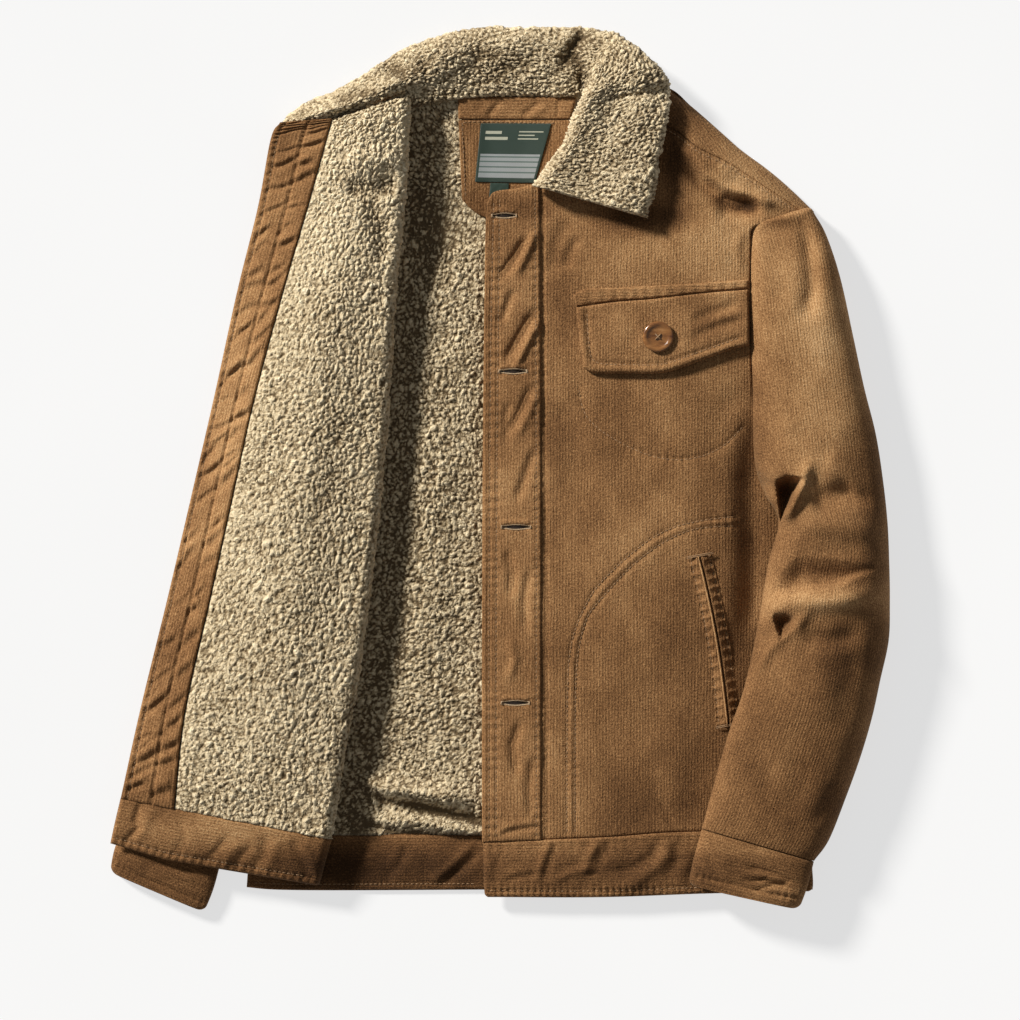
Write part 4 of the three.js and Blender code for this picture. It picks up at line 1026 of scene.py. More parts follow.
LEFT_HEM_FOLDS = pucker_folds(-6, 262, -360, -318, 20, 12, 1.2, 3.6, 11) + [
    ([(32, -352), (36, -334), (45, -312)], -3.0, 2.8),
    ([(39, -352), (43, -334), (52, -314)], 2.0, 3.6),
    ([(71, -346), (77, -329), (88, -310)], -3.4, 2.8),
    ([(80, -350), (86, -332), (98, -312)], 3.0, 4),
    ([(42, -351), (66, -341), (88, -337)], -2.4, 2.8),
    ([(44, -344), (66, -334), (84, -330)], 1.6, 3.4),
    ([(84, -342), (112, -339), (130, -328), (137, -308)], 3.4, 3.8),
    ([(88, -357), (116, -351), (132, -339), (142, -327), (145, -310)], -3.6, 4),
    ([(150, -312), (152, -330), (140, -350)], 2.6, 4),
    ([(2, -350), (20, -345), (40, -343)], 2.0, 2.4),
    ([(4, -343), (20, -340), (38, -337)], -1.2, 2.4),
    ([(176, -312), (170, -332), (158, -352)], 2.4, 4),
]
LEFT_HEM_FOLDS = softened(LEFT_HEM_FOLDS)
LEFT_HEM_STITCH = [(-8, -357.5), (89, -357.5), (176, -354.5), (262, -352.5)]
LEFT_HEM_TOP_STITCH = [(x, y - 5) for x, y in FRONT_BOTTOM]


def left_hem_top(x, y, v=None):
    share = np.clip((y + 360.5) / 47, 0, 1) if v is None else v
    crown = HEM_CROWN - 2 * HEM_CROWN * (share - 0.55) ** 2
    seam = seam_relief([LEFT_HEM_STITCH], x, y, 0.7, 1.6, 0.4, 6)
    seam = seam + seam_relief([LEFT_HEM_TOP_STITCH], x, y, 0.3, 2, 0.4, 9)
    seam = seam + 0.7 * np.sin(x * 2 * np.pi / 5.6 + 2 * soft_noise(x, y, 26, 13)) * smoothstep(-y, 346, 358)
    return solid_front(x, y) + crown - fold_depth(LEFT_HEM_FOLDS, x, y) + seam + 0.3 * soft_noise(x, y, 12, 12)


def build_left_hem():
    piece = panel(
        "left_hem_band_cloth", left_hem_plan, 1.8,
        upper=lambda x, y, u, v: left_hem_top(x, y, v),
        lower=lambda x, y, u, v: np.maximum(solid_front(x, y) - BAND, BAND + LAY_GAP),
        radius=(4, 4, 4, 1.6), cut=along_band,
    )
    settle(piece, "left_hem_band", "corduroy", CLOTH)
    stitch_mesh("left_hem_stitches", [on_height(LEFT_HEM_STITCH, left_hem_top)])


# Back: shell, lining and hem band

ARMHOLE_ROW = [(-100, 240), (60, 205), (207, 170)]
back_lower = patch(
    bottom=edge([(-211, -312), (30, -312), (264, -307)]),
    top=edge(ARMHOLE_ROW),
    left=edge([(-211, -312), (-186, -215), (-158, -130), (-139, -60), (-124, 30), (-112, 120), (-104, 190),
               (-100, 240)]),
    right=edge([(264, -307), (264, -190), (262, -70), (236, -48), (218, -8), (212, 60), (209, 120), (207, 170)]),
)
back_upper = patch(
    bottom=edge(ARMHOLE_ROW),
    top=edge([(-158, 272), (-120, 281), (-92, 299), (-74, 315), (-52, 317.5), (-34, 318), (10, 318), (64, 323),
              (90, 328), (143, 320)]),
    left=edge([(-100, 240), (-150, 256), (-158, 272)]),
    right=edge([(207, 170), (207, 210), (230, 222), (249, 226), (242, 236), (204, 268), (162, 305), (143, 320)]),
)
BACK_OPEN_TO = PLACKET_EDGE + 14


def back_rows(us, vs):
    """The back's whole plan as one grid: its lower patch, then its upper one."""
    u, v = np.meshgrid(us, vs)
    low = v < 0.8
    lower = back_lower(u, np.clip(v / 0.8, 0, 1))
    upper = back_upper(u, np.clip((v - 0.8) / 0.2, 0, 1))
    return np.where(low[..., None], lower, upper), u, v


BACK_ROLLS = [
    ([(-106, -280), (-68, -286), (-44, -292), (-14, -299), (14, -304)], 10.0, 3.4),
    ([(-124, -262), (-104, -276), (-90, -290)], 3.0, 5),
    ([(-118, -268), (-80, -273), (-40, -279), (-8, -284)], -4.5, 7),
    ([(-108, -296), (-70, -299), (-30, -306), (6, -310)], -4.0, 4.5),
    ([(-128, -294), (-96, -308), (-50, -313), (10, -314)], 7.0, 3.6),
    ([(-60, 250), (-52, 200), (-60, 150)], 2.0, 14),
    ([(-40, 120), (-34, 40), (-44, -40)], -1.2, 14),
]


def painted_fold_shade(height, folds):
    """Pile tone with painted shade: darker where the cloth lies deep in a fold."""
    return height - 0.075 * np.clip(folds, 0, 7)


# Where the folded front shades the lining beside it
UNDER_FOLD = [
    (-125, -314), (-110, -230), (-95, -130), (-83, -28), (-76, 50), (-71, 143), (-63, 216), (-58, 290),
]


def build_back():
    fine = 1.25
    open_part = np.linspace(0.035, 0.52, int(190 / fine))
    covered = np.linspace(0.52, 0.965, 24)[1:]
    us = np.r_[0.03, open_part, covered, 0.97]
    vs = np.r_[0.002, np.linspace(0.006, 0.8, int(540 / 1.35)), np.linspace(0.8, 0.994, int(110 / 1.3))[1:], 0.998]
    plan, u, v = back_rows(us, vs)
    x, y = plan[..., 0], plan[..., 1]
    shown = 1 - smoothstep(x, PLACKET_EDGE, BACK_OPEN_TO)
    height = pile_height(x, y, 21)
    rolls = fold_depth(BACK_ROLLS, x, y)
    shadow = 0.2 * np.exp(-((nearest(UNDER_FOLD, x, y)[0] / 14) ** 2))
    top = lining_height(x, y) + shown * (CURL_HEIGHT * (height - 0.62) + 0.9 * soft_noise(x, y, 24, 23) - rolls)
    floor = np.full(x.shape, BACK_SHELL + SEAM_GAP)
    rim = np.zeros(x.shape, bool)
    rim[0], rim[-1], rim[:, 0], rim[:, -1] = True, True, True, True
    top = np.where(rim, lerp(floor, top, 0.5), np.maximum(top, floor + 0.6))
    # Pile tone with painted shade deep in the rolls and the painted shadow of the folded front.
    piece = two_faced("back_lining_pile", np.dstack([x, y, top]), np.dstack([x, y, floor]), plan,
                      lerp(0.6, painted_fold_shade(height, rolls) - 0.04 - shadow, shown), 6)
    settle(piece, "back_lining", "pile", PILE_CLOTH)

    us, vs = spread(400, 14, 2), spread(640, 14, 2)
    plan, u, v = back_rows(us, vs)
    x, y = plan[..., 0], plan[..., 1]
    middle = 0.5 * BACK_SHELL
    open_wall = rim_round(us, vs, (400, 640), (2, 2, 2, 2))
    shell = two_faced(
        "back_shell_cloth", np.dstack([x, y, middle + middle * open_wall]),
        np.dstack([x, y, middle - middle * open_wall]), plan,
    )
    settle(shell, "back_shell", "corduroy", CLOTH)


back_hem_plan = patch(
    bottom=edge([(-214, HEM_EDGE + 2), (-192, HEM_EDGE), (20, HEM_EDGE), (267, HEM_EDGE)]),
    top=edge([(-211, HEM_SEAM + 3), (30, HEM_SEAM + 3), (266, HEM_SEAM + 7)]),
    left=edge([(-214, HEM_EDGE + 2), (-211, HEM_SEAM + 3)]),
    right=edge([(267, HEM_EDGE), (266, HEM_SEAM + 7)]),
)
BACK_HEM_FOLDS = pucker_folds(-205, -14, HEM_EDGE + 3, HEM_SEAM - 2, 15, 6, 0.9, 5, 14) + [
    ([(-62, -354), (-40, -336), (-16, -312)], -1.8, 3.4),
    ([(-52, -356), (-30, -338), (-12, -322)], 1.8, 3.4),
    ([(-100, -350), (-84, -336), (-76, -316)], 1.6, 4),
]
BACK_HEM_STITCH = [(-208, HEM_EDGE + 6), (-190, HEM_EDGE + 5), (-20, HEM_EDGE + 5)]


def back_hem_top(x, y):
    share = np.clip((y - HEM_EDGE) / (HEM_SEAM - HEM_EDGE), 0, 1)
    folds = fold_depth(BACK_HEM_FOLDS, x, y)
    seam = seam_relief([BACK_HEM_STITCH], x, y, 0.6, 1.6, 0.4, 7)
    return BAND - 1.4 * (2 * share - 1) ** 2 - folds + seam


def build_back_hem():
    piece = panel(
        "back_hem_band_cloth", back_hem_plan, 2.2,
        upper=lambda x, y, u, v: back_hem_top(x, y),
        lower=lambda x, y, u, v: 0 * x,
        radius=2.4, cut=along_band,
    )
    settle(piece, "back_hem_band", "corduroy", CLOTH)
    stitch_mesh("back_hem_stitches", [on_height(BACK_HEM_STITCH, back_hem_top)])


# Chest pocket

FLAP_CLOTH = 3
WELT_CLOTH = 1.6
welt_plan = patch(
    bottom=edge([(66, 138), (99, 142.5), (131, 145), (175, 150), (211, 153)]),
    top=edge([(63, 147), (71, 152), (105, 154), (153, 156.5), (212, 160.5)]),
    left=edge([(66, 138), (63, 147)]),
    right=edge([(211, 153), (212, 160.5)]),
)
flap_plan = patch(
    bottom=edge([(72, 86), (78, 82), (110, 81), (140, 81.5), (175, 93), (197, 101), (212, 104.5)]),
    top=edge([(66, 137), (99, 141.5), (131, 144), (175, 149), (211, 152)]),
    left=edge([(72, 86), (68, 112), (66, 137)]),
    right=edge([(212, 104.5), (212, 128), (211, 152)]),
)
FLAP_STITCH = [(75, 132), (76, 112), (79, 94), (84, 90), (110, 88.5), (139, 89), (172, 100), (203, 111)]
FLAP_EDGE = [(66, 137), (68, 112), (72, 86), (78, 82), (110, 81), (140, 81.5), (175, 93), (197, 101), (212, 104.5)]
FLAP_FOLDS = [
    ([(208, 142), (184, 134), (160, 124)], 1.8, 4.5),
    ([(210, 126), (186, 122), (158, 108)], 1.8, 4.5),
    ([(210, 134), (190, 128), (170, 118)], -1.0, 3.5),
    ([(120, 118), (112, 108), (108, 94)], 0.7, 6),
    ([(95, 130), (104, 122), (112, 120)], -0.5, 6),
    ([(152, 108), (160, 100), (168, 98)], -0.8, 4),
]
CHEST_BUTTON = (135, 112)


def flap_top(x, y):
    press = 0.7 * np.exp(-(((x - CHEST_BUTTON[0]) ** 2 + (y - CHEST_BUTTON[1]) ** 2) / 22**2))
    seam = seam_relief([FLAP_STITCH], x, y, 1.2, 1.7, 0.4, 7)
    puff = 0.9 * np.exp(-(((nearest(FLAP_EDGE, x, y)[0] - 3.5) / 2.6) ** 2))
    folds = fold_depth(FLAP_FOLDS, x, y)
    lift = 2.4 * smoothstep(145 - y + 0.12 * (x - 72), 10, 50)
    height = solid_front(x, y) + LAY_GAP + FLAP_CLOTH + lift + puff + seam
    return height - folds - press + 0.25 * soft_noise(x, y, 14, 31)


def welt_top(x, y):
    pucker = 0.3 * np.sin(x * 2 * np.pi / 11 + 3 * soft_noise(x, y, 40, 33))
    return solid_front(x, y) + LAY_GAP + WELT_CLOTH + pucker


def build_pocket():
    welt = panel(
        "chest_pocket_welt_cloth", welt_plan, 1.5,
        upper=lambda x, y, u, v: welt_top(x, y),
        lower=lambda x, y, u, v: solid_front(x, y) - 0.6,
        radius=2, middle=0.3, cut=along_band,
    )
    settle(welt, "chest_pocket_welt", "corduroy", CLOTH)
    flap = panel(
        "chest_pocket_flap_cloth", flap_plan, 1.6,
        upper=lambda x, y, u, v: flap_top(x, y),
        lower=lambda x, y, u, v: solid_front(x, y) + LAY_GAP,
        radius=(2.4, 1.5, 2.4, 1.5), middle=0.3,
    )
    settle(flap, "chest_pocket_flap", "corduroy", CLOTH)
    stitch_mesh("pocket_stitches", [on_height(FLAP_STITCH, flap_top)])
    build_button("chest_pocket_button_horn", "chest_pocket_button", CHEST_BUTTON, (0, 0, 1), None)


# Buttons

BUTTON_RADIUS = 13
HOLE_RADIUS = 1.3
HOLE_SPREAD = 2.6
HOLE_HEIGHT = 2.45
BUTTON_PROFILE = [
    (0.01, 0), (11, 0), (12.4, 0.5), (13, 1.4), (13, 2.8), (12.6, 3.6), (11.6, 4), (10.2, 3.95), (9, 3.3),
    (8, 2.75), (6, 2.5), (0.01, 2.4),
]


def build_button(name, node, centre, facing, seat):
    """A turned button with a raised rim, cross threads over its four holes, and its axis along `facing`."""
    around = 48
    angle = np.linspace(0, 2 * np.pi, around, endpoint=False)
    rings = np.array([[(r * np.cos(a), r * np.sin(a), z) for a in angle] for r, z in BUTTON_PROFILE])
    count = len(BUTTON_PROFILE)
    points = rings.reshape(-1, 3)
    j, i = np.mgrid[0:count - 1, 0:around]
    k = (i + 1) % around
    quads = np.stack([j * around + i, j * around + k, (j + 1) * around + k, (j + 1) * around + i], -1).reshape(-1, 4)
    first = np.arange(around)[::-1][None]
    last = ((count - 1) * around + np.arange(around))[None]
    if seat is None:
        x, y = centre
        seat = float(flap_top(np.array([x]), np.array([y]))[0]) + SEAM_GAP
    up = np.array(facing, float) / np.linalg.norm(facing)
    side = np.cross((0, 1, 0), up)
    side /= np.linalg.norm(side)
    turn = np.column_stack([side, np.cross(up, side), up])
    placed = points @ turn.T + np.array([*centre, seat])
    piece = make_mesh(name, placed, [quads, first, last])
    settle(piece, node, "horn_button", HORN)
    dark, threads, faces = [], [], []
    for sx, sy in ((1, 1), (-1, 1), (-1, -1), (1, -1)):
        hole = np.array([(sx * HOLE_SPREAD + HOLE_RADIUS * math.cos(a), sy * HOLE_SPREAD + HOLE_RADIUS * math.sin(a),
                          HOLE_HEIGHT)
                         for a in np.linspace(0, 2 * np.pi, 12, endpoint=False)])
        dark.append(hole @ turn.T + np.array([*centre, seat]))
    # A near-black disc in each of the four holes: painted shade for the inside of the hole.
    hole_shade_discs = make_mesh(name + "_hole_shade", np.concatenate(dark), [np.arange(48).reshape(4, 12)])
    settle(hole_shade_discs, None, "horn_button", HOLE_SHADE)
    for start, end in (((-2.6, -2.6), (2.6, 2.6)), ((-2.6, 2.6), (2.6, -2.6))):
        add_bar(threads, faces, start, end, lambda x, y: 2.3 + 0 * x, 0.6, 8)
    cross = make_mesh(name + "_threads", np.array(threads) @ turn.T + np.array([*centre, seat]), [np.array(faces)])
    settle(cross, None, "corduroy", THREAD)


# Slanted side pocket

LIP_WIDTH = 10
LIP_CLOTH = 1.8
SLIT_BOW = 3
SLIT_LENGTH = math.hypot(SLIT_END[0] - SLIT_TOP[0], SLIT_END[1] - SLIT_TOP[1])
SLIT_ACROSS = ((SLIT_TOP[1] - SLIT_END[1]) / SLIT_LENGTH, (SLIT_END[0] - SLIT_TOP[0]) / SLIT_LENGTH)


def slit_point(reach, v):
    """Plan point beside the slit, `reach` to its right, at a share `v` from its lower end."""
    move = reach + SLIT_BOW * np.sin(np.pi * v)
    x = lerp(SLIT_END[0], SLIT_TOP[0], v) + SLIT_ACROSS[0] * move
    return x, lerp(SLIT_END[1], SLIT_TOP[1], v) + SLIT_ACROSS[1] * move


def cord_mesh(name, line, radius, around=8):
    """A round cord of cloth along a line of points."""
    line = np.asarray(line, float)
    along = np.gradient(line, axis=0)
    along /= np.linalg.norm(along, axis=1, keepdims=True)
    side = np.cross(np.array([0.0, 0.0, 1.0]), along)
    side /= np.linalg.norm(side, axis=1, keepdims=True)
    up = np.cross(along, side)
    angle = np.linspace(0, 2 * np.pi, around, endpoint=False)[None, :, None]
    taper = np.sqrt(np.clip(np.sin(np.linspace(0.05, np.pi - 0.05, len(line))) * 4, 0, 1))[:, None, None]
    ring = line[:, None] + radius * taper * (side[:, None] * np.cos(angle) + up[:, None] * np.sin(angle))
    count = len(line)
    j, i = np.mgrid[0:count - 1, 0:around]
    k = (i + 1) % around
    quads = np.stack([j * around + i, j * around + k, (j + 1) * around + k, (j + 1) * around + i], -1).reshape(-1, 4)
    ends = [np.arange(around)[::-1][None], ((count - 1) * around + np.arange(around))[None]]
    cut = np.column_stack([np.tile(np.arange(around) * radius, count), np.repeat(np.arange(count), around)])
    points = ring.reshape(-1, 3)
    return settle(make_mesh(name, points, [quads] + ends, cut, np.full(len(points), 0.72)), None, "corduroy", CLOTH)


def build_lips():
    runs = []
    for side, name in ((-1, "front"), (1, "back")):
        def plan(u, v, side=side):
            return np.stack(slit_point(side * (SEAM_GAP + u * LIP_WIDTH), v), -1)
        plan.size = (LIP_WIDTH, SLIT_LENGTH)

        def top(x, y, u, v, side=side):
            wave = 1 - 2 * np.abs(np.sin(v * np.pi * 18 + side + 0.8 * np.sin(9 * v))) ** 0.6
            pucker = 0.9 * wave * smoothstep(u, 0.1, 0.5) * (1 - smoothstep(u, 0.9, 1))
            groove = 0.9 * np.exp(-(((u - 0.8) / 0.12) ** 2))
            height = lerp(LIP_CLOTH + 1.0, LIP_CLOTH - 0.9, smoothstep(u, 0.1, 1))
            return solid_front(x, y) + LAY_GAP + height + pucker - groove

        lip = panel(
            f"side_pocket_lip_{name}_cloth", plan, 1.1, upper=top,
            lower=lambda x, y, u, v: solid_front(x, y) - 0.8,
            radius=1.6, middle=0.3,
        )
        settle(lip, f"side_pocket_lip_{name}", "corduroy", CLOTH)
        v = np.linspace(0, 1, 100)
        for reach in (8.0,):
            x, y = slit_point(side * reach, v)
            z = top(x, y, np.full(v.shape, reach / LIP_WIDTH), v)
            runs.append(np.column_stack([x, y, z + 0.1]))
    points, faces = [], []
    for v in (0.0, 1.0):
        for shift in (-0.6, 0.6):
            ax, ay = slit_point(-11, v)
            bx, by = slit_point(12, v)
            add_bar(points, faces, (ax, ay + shift), (bx, by + shift),
                    lambda x, y: solid_front(x, y) + LAY_GAP + 1.4, 0.55, 12)
    settle(make_mesh("pocket_bartacks", points, [np.array(faces)]), None, "corduroy", THREAD)
    v = np.linspace(0, 1, 60)
    x, y = slit_point(-1.1, v)
    cord_mesh("side_pocket_piping", np.column_stack([x, y, solid_front(x, y) + LAY_GAP + LIP_CLOTH + 1.1]), 0.9)
    stitch_mesh("side_pocket_stitches", runs)


# Sleeves and cuffs

SLEEVE_STATIONS = table(
    "ix iy ox oy top square",
    (214, 205, 267, 218.4, 27, 3.4),
    (212, 190, 278, 198.5, 31, 3.2),
    (211.5, 166, 290, 162, 37, 2.8),
    (211.5, 120, 301, 112, 40, 2.7),
    (213.5, 77, 310, 70, 42, 2.6),
    (215, 34, 320, 30, 44, 2.5),
    (218, 1, 326, -8, 46, 2.4),
    (226, -21, 330, -45, 48, 2.3),
    (237, -45, 331.5, -80, 50, 2.3),
    (228.5, -79, 332, -112, 51, 2.3),
    (223, -113, 331, -145, 51, 2.3),
    (216, -150, 324, -178, 50, 2.3),
    (207, -188, 317, -210, 49, 2.3),
    (196, -219, 307, -244, 47, 2.3),
    (186, -253, 294, -280, 45, 2.3),
    (177, -286, 280, -314, 43, 2.3),
    (172.3, -304, 267.2, -331.5, 40, 2.4),
)
CUFF_STATIONS = table(
    "ix iy ox oy top square",
    (172, -304.6, 267, -332.2, 39, 2.5),
    (165, -330, 262, -352, 38, 2.8),
    (160.5, -352, 254.5, -373, 35, 2.8),
)
RIGHT_SLEEVE_STATIONS = table(
    "ix iy ox oy top square",
    (-166, 240, -114, 231, 12, 2.4),
    (-178, 192, -118, 186, 15, 2.4),
    (-195, 122, -126, 116, 17, 2.4),
    (-212, 35, -136, 24, 18, 2.4),
    (-229, -52, -149, -68, 18, 2.4),
    (-252, -137, -171, -156, 17.5, 2.4),
    (-277, -205, -198, -234, 16, 2.4),
    (-302, -262, -222, -296, 14.5, 2.6),
    (-316, -297, -235, -331, 13.5, 2.8),
)
RIGHT_CUFF_STATIONS = table(
    "ix iy ox oy top square",
    (-316.4, -297.6, -235.4, -331.6, 14, 2.9),
    (-326, -322, -242, -356, 14, 3),
    (-330, -342, -250, -376, 13, 3),
)
SLEEVE_FOLDS = [
    ([(242, -90), (258, -76), (290, -69), (311, -70)], 2, 10),
    ([(246, -2), (241, -20), (238, -38)], 3, 6),
    ([(262, -28), (283, -24), (303, -14)], 5, 11),
    ([(228, -106), (262, -105), (312, -104)], -3, 10),
    ([(230, -124), (240, -132), (252, -126)], 4, 7),
    ([(214, 196), (240, 203), (262, 208)], 1.5, 8),
    ([(258, -11), (248, -28), (240, -44)], -5, 6),
]
SLEEVE_CREASES = [
    ([(256, 222), (262, 188), (265, 153), (258, 120)], 4.2, 6.5),
    ([(276, 200), (279, 160), (280, 110)], -1.6, 10),
    ([(226, 196), (236, 170), (240, 130)], 1.6, 9),
    ([(218, 60), (232, 40), (238, 14)], 1.6, 9),
    ([(246, 40), (262, 14), (284, 6)], 1.6, 11),
    ([(300, 40), (306, 0), (300, -40)], 1.4, 12),
    ([(266, 12), (253, -20), (238, -54)], -3.6, 4.5),
    ([(254, 2), (274, -18), (300, -25), (324, -26)], 4.5, 9),
    ([(246, -46), (285, -48), (326, -56)], -3.5, 9),
    ([(216, -112), (254, -114), (288, -112), (330, -104)], -5.5, 9),
    ([(266, -116), (250, -133), (229, -152), (210, -182)], -3.2, 4.5),
    ([(228, -108), (232, -128), (235, -150)], -1.5, 2.8),
    ([(250, -140), (280, -145), (310, -138)], 4, 8),
    ([(226, -150), (240, -176), (236, -210)], 1.6, 11),
    ([(262, -150), (276, -180), (270, -220)], -1.4, 13),
    ([(300, -150), (296, -190), (284, -230)], 1.8, 12),
    ([(212, -226), (228, -250), (226, -286)], 1.2, 9),
    ([(254, -238), (256, -268), (246, -296)], 1.4, 12),
    ([(288, -262), (280, -284), (262, -304)], 2.6, 8),
    ([(190, -268), (196, -286), (190, -300)], -0.9, 6),
]
ELBOW_HOLLOWS = [
    ([(234, -9), (246, -5), (258.5, -7), (251, -20), (238.5, -45)], 26, 3.4, 12, 2),
    ([(228, -106), (238, -89), (252, -75), (285, -76), (322, -83), (284, -99), (252, -105)], 9, 5, 15, 4),
    ([(231, -122), (242, -121), (251, -125), (246, -133), (238, -144)], 9, 2.6, 7, 2),
]
CUFF_CREASES = [
    ([(206, -334), (228, -341), (262, -354)], 3.4, 2.4),
    ([(200, -350), (226, -346), (256, -358)], 3.0, 2.4),
    ([(210, -342), (234, -345), (256, -352)], -1.8, 2.6),
    ([(212, -356), (230, -352), (250, -348)], 2.4, 2.2),
    ([(196, -330), (200, -340), (206, -350)], 0.8, 5),
    ([(178, -322), (182, -336), (180, -348)], 0.6, 5),
    ([(238, -356), (246, -360), (252, -366)], -0.8, 3),
]
RIGHT_CUFF_CREASES = [
    ([(-296, -330), (-274, -338), (-250, -342)], 2.0, 3.2),
    ([(-290, -338), (-272, -344), (-254, -350)], -1.2, 3.2),
    ([(-268, -336), (-258, -344), (-246, -346)], 1.0, 3.4),
    ([(-300, -322), (-296, -334), (-298, -346)], 0.7, 5),
    ([(-318, -316), (-316, -326), (-320, -336)], 0.6, 4),
]
CUFF_DEPTH = 48
CUFF_CORNER = 7
SLEEVE_CLEAR = 1
BAND_CLEAR = HEM_CROWN + 1
SIDE_SLOPE_END = 292
WIDEST_SHARE = 0.4
WIDEST_RISE = 11


def sleeve_floor(x, y):
    """The body's side that the left sleeve lies on, sloping down to the ground outside it."""
    on_body = 1 - smoothstep(y, -36, -4)
    on_band = 1 - smoothstep(y, -300, -280)
    side = front_base(np.minimum(x, SIDE_SEAM), y) + lerp(SLEEVE_CLEAR, BAND_CLEAR, on_band)
    beyond = np.clip((x - SIDE_SEAM - 4) / (SIDE_SLOPE_END - SIDE_SEAM), 0, 1)
    return side * on_body * (1 - beyond)


def cuff_floor(x, y):
    return front_base(np.minimum(x, SIDE_SEAM), np.maximum(y, HEM_EDGE)) + BAND_CLEAR


def ground(x, y):
    return 0 * x


def tube_grid(stations, t, angle, floor, surface, shrink, corner=0):
    """Points round a flattened tube: one row for each place along it. `corner` rounds its open end in plan."""
    get = {name: row_value(stations, name, t)[:, None] for name in stations}
    dx, dy = get["ox"] - get["ix"], get["oy"] - get["iy"]
    reach = 1 - 2 * shrink / np.hypot(dx, dy)
    if corner:
        left = np.clip((1 - t[:, None]) * CUFF_DEPTH / corner, 0, 1)
        reach = reach - 2 * corner / np.hypot(dx, dy) * (1 - np.sqrt(1 - (1 - left) ** 2))
    c, s = np.cos(angle)[None, :], np.sin(angle)[None, :]
    across = np.sign(c) * np.abs(c) ** (2 / get["square"])
    up = np.sign(s) * np.abs(s) ** (2 / get["square"])
    x = (get["ix"] + get["ox"]) / 2 + reach * across * dx / 2
    y = (get["iy"] + get["oy"]) / 2 + reach * across * dy / 2
    base, top = floor(x, y), get["top"] * np.ones(x.shape)
    side = base + np.minimum(WIDEST_RISE, WIDEST_SHARE * (top - base))
    upper = side + (top - side - shrink - surface(x, y)) * up
    lower = side - (side - base - shrink) * np.sqrt(np.maximum(-up, 0))
    return np.dstack([x, y, np.where(up > 0, upper, lower)])


CAP_REACH = 5


def build_tube(name, node, stations, rows, around, floor, surface, closed_top, hidden=4, lengthwise=True):
    """A hollow sleeve or cuff: an outer skin, an inner skin and rounded rims between them."""
    angle = np.linspace(0, 2 * np.pi, around, endpoint=False) + np.pi / 2
    t = np.linspace(0, 1, rows)
    corner = 0 if closed_top else CUFF_CORNER
    if corner:
        t = np.r_[np.linspace(0, 0.8, rows - 10), 1 - 0.2 * np.linspace(0.93, 0, 10) ** 2]
        t = np.sort(t)
    outer = tube_grid(stations, t, angle, floor, surface, 0, corner)
    start = 2 / (len(stations["top"]) - 1) if closed_top else 0
    t_in = np.linspace(start, 1, max(6, rows // hidden))
    inner = tube_grid(stations, t_in, angle, floor, lambda x, y: surface(x, y) * 1.3, SLEEVE_WALL, corner)
    if closed_top:
        centre, ahead = outer[0].mean(0), outer[0].mean(0) - outer[4].mean(0)
        ahead = CAP_REACH * ahead / np.linalg.norm(ahead) * (1, 1, 0)
        turn = np.radians([84, 62, 40, 20])[:, None, None]
        shrink = np.concatenate([np.cos(turn) ** 0.16] * 2 + [np.cos(turn) ** 0.7], -1)
        cap = centre + (outer[0] - centre) * shrink + ahead * np.sin(turn)
        outer = np.concatenate([cap, outer])
        rows = len(outer)
    along = np.cumsum(np.r_[0, np.linalg.norm(np.diff(outer.mean(1), axis=0), axis=1)])
    hop = np.linalg.norm(np.diff(np.concatenate([outer, outer[:, :1]], 1), axis=1), axis=2)
    run = np.concatenate([np.zeros((rows, 1)), np.cumsum(hop, 1)[:, :-1]], 1)
    whole = hop.sum(1, keepdims=True)
    run = np.where(run > whole / 2, run - whole, run)
    cut = np.dstack([run, np.broadcast_to(along[:, None], run.shape)])
    inner_cut = np.broadcast_to(cut[:1], inner.shape[:2] + (2,))
    points = np.concatenate([outer.reshape(-1, 3), inner.reshape(-1, 3)])
    cuts = np.concatenate([cut.reshape(-1, 2), inner_cut.reshape(-1, 2)])
    if not lengthwise:
        cuts = cuts[:, ::-1]

    def skin(first, count, flip):
        j, i = np.mgrid[0:count - 1, 0:around]
        k = (i + 1) % around
        low, high = first + j * around, first + (j + 1) * around
        ring = [low + i, low + k, high + k, high + i]
        return np.stack(ring[::-1] if flip else ring, -1).reshape(-1, 4)

    def join(a, b, flip):
        i = np.arange(around)
        k = (i + 1) % around
        ring = [a + i, a + k, b + k, b + i]
        return np.stack(ring[::-1] if flip else ring, -1)

    inner_first = rows * around
    faces = [skin(0, rows, False), skin(inner_first, len(t_in), True)]
    faces.append(join((rows - 1) * around, inner_first + (len(t_in) - 1) * around, False))
    if closed_top:
        fans = [np.arange(around)[None, :].copy(), (inner_first + np.arange(around))[None, ::-1].copy()]
    else:
        fans = [join(0, inner_first, True)]
    piece = make_mesh(name, points, faces + fans, cuts)
    mesh = piece.data
    signed = outside_sign(points, faces + fans)
    if signed < 0:
        mesh.flip_normals()
    settle(piece, node, "corduroy", CLOTH)
    return piece


def outside_sign(points, faces):
    """Sign of the volume that the faces enclose."""
    total = 0.0
    for f in faces:
        for i in range(1, f.shape[1] - 1):
            a, b, c = points[f[:, 0]], points[f[:, i]], points[f[:, i + 1]]
            total += np.einsum("ij,ij->i", a, np.cross(b, c)).sum()
    return total


def sleeve_surface(x, y):
    soft = 0.8 * soft_noise(x, y, 38, 41) + 0.35 * soft_noise(x, y, 16, 42)
    cuff = 1.5 * np.exp(-((nearest(CUFF_SEAM, x, y)[0] / 4) ** 2))
    folds = fold_depth(SLEEVE_FOLDS, x, y) + fold_depth(SLEEVE_CREASES, x, y)
    return folds + sum(hollow(rim, x, y, *size) for rim, *size in ELBOW_HOLLOWS) - soft + cuff


CUFF_SEAM = [(172, -304), (220, -321), (267, -331.5)]
CUFF_STITCH = [(163.5, -343), (180, -347), (213.5, -354.5), (224, -358), (256, -363)]


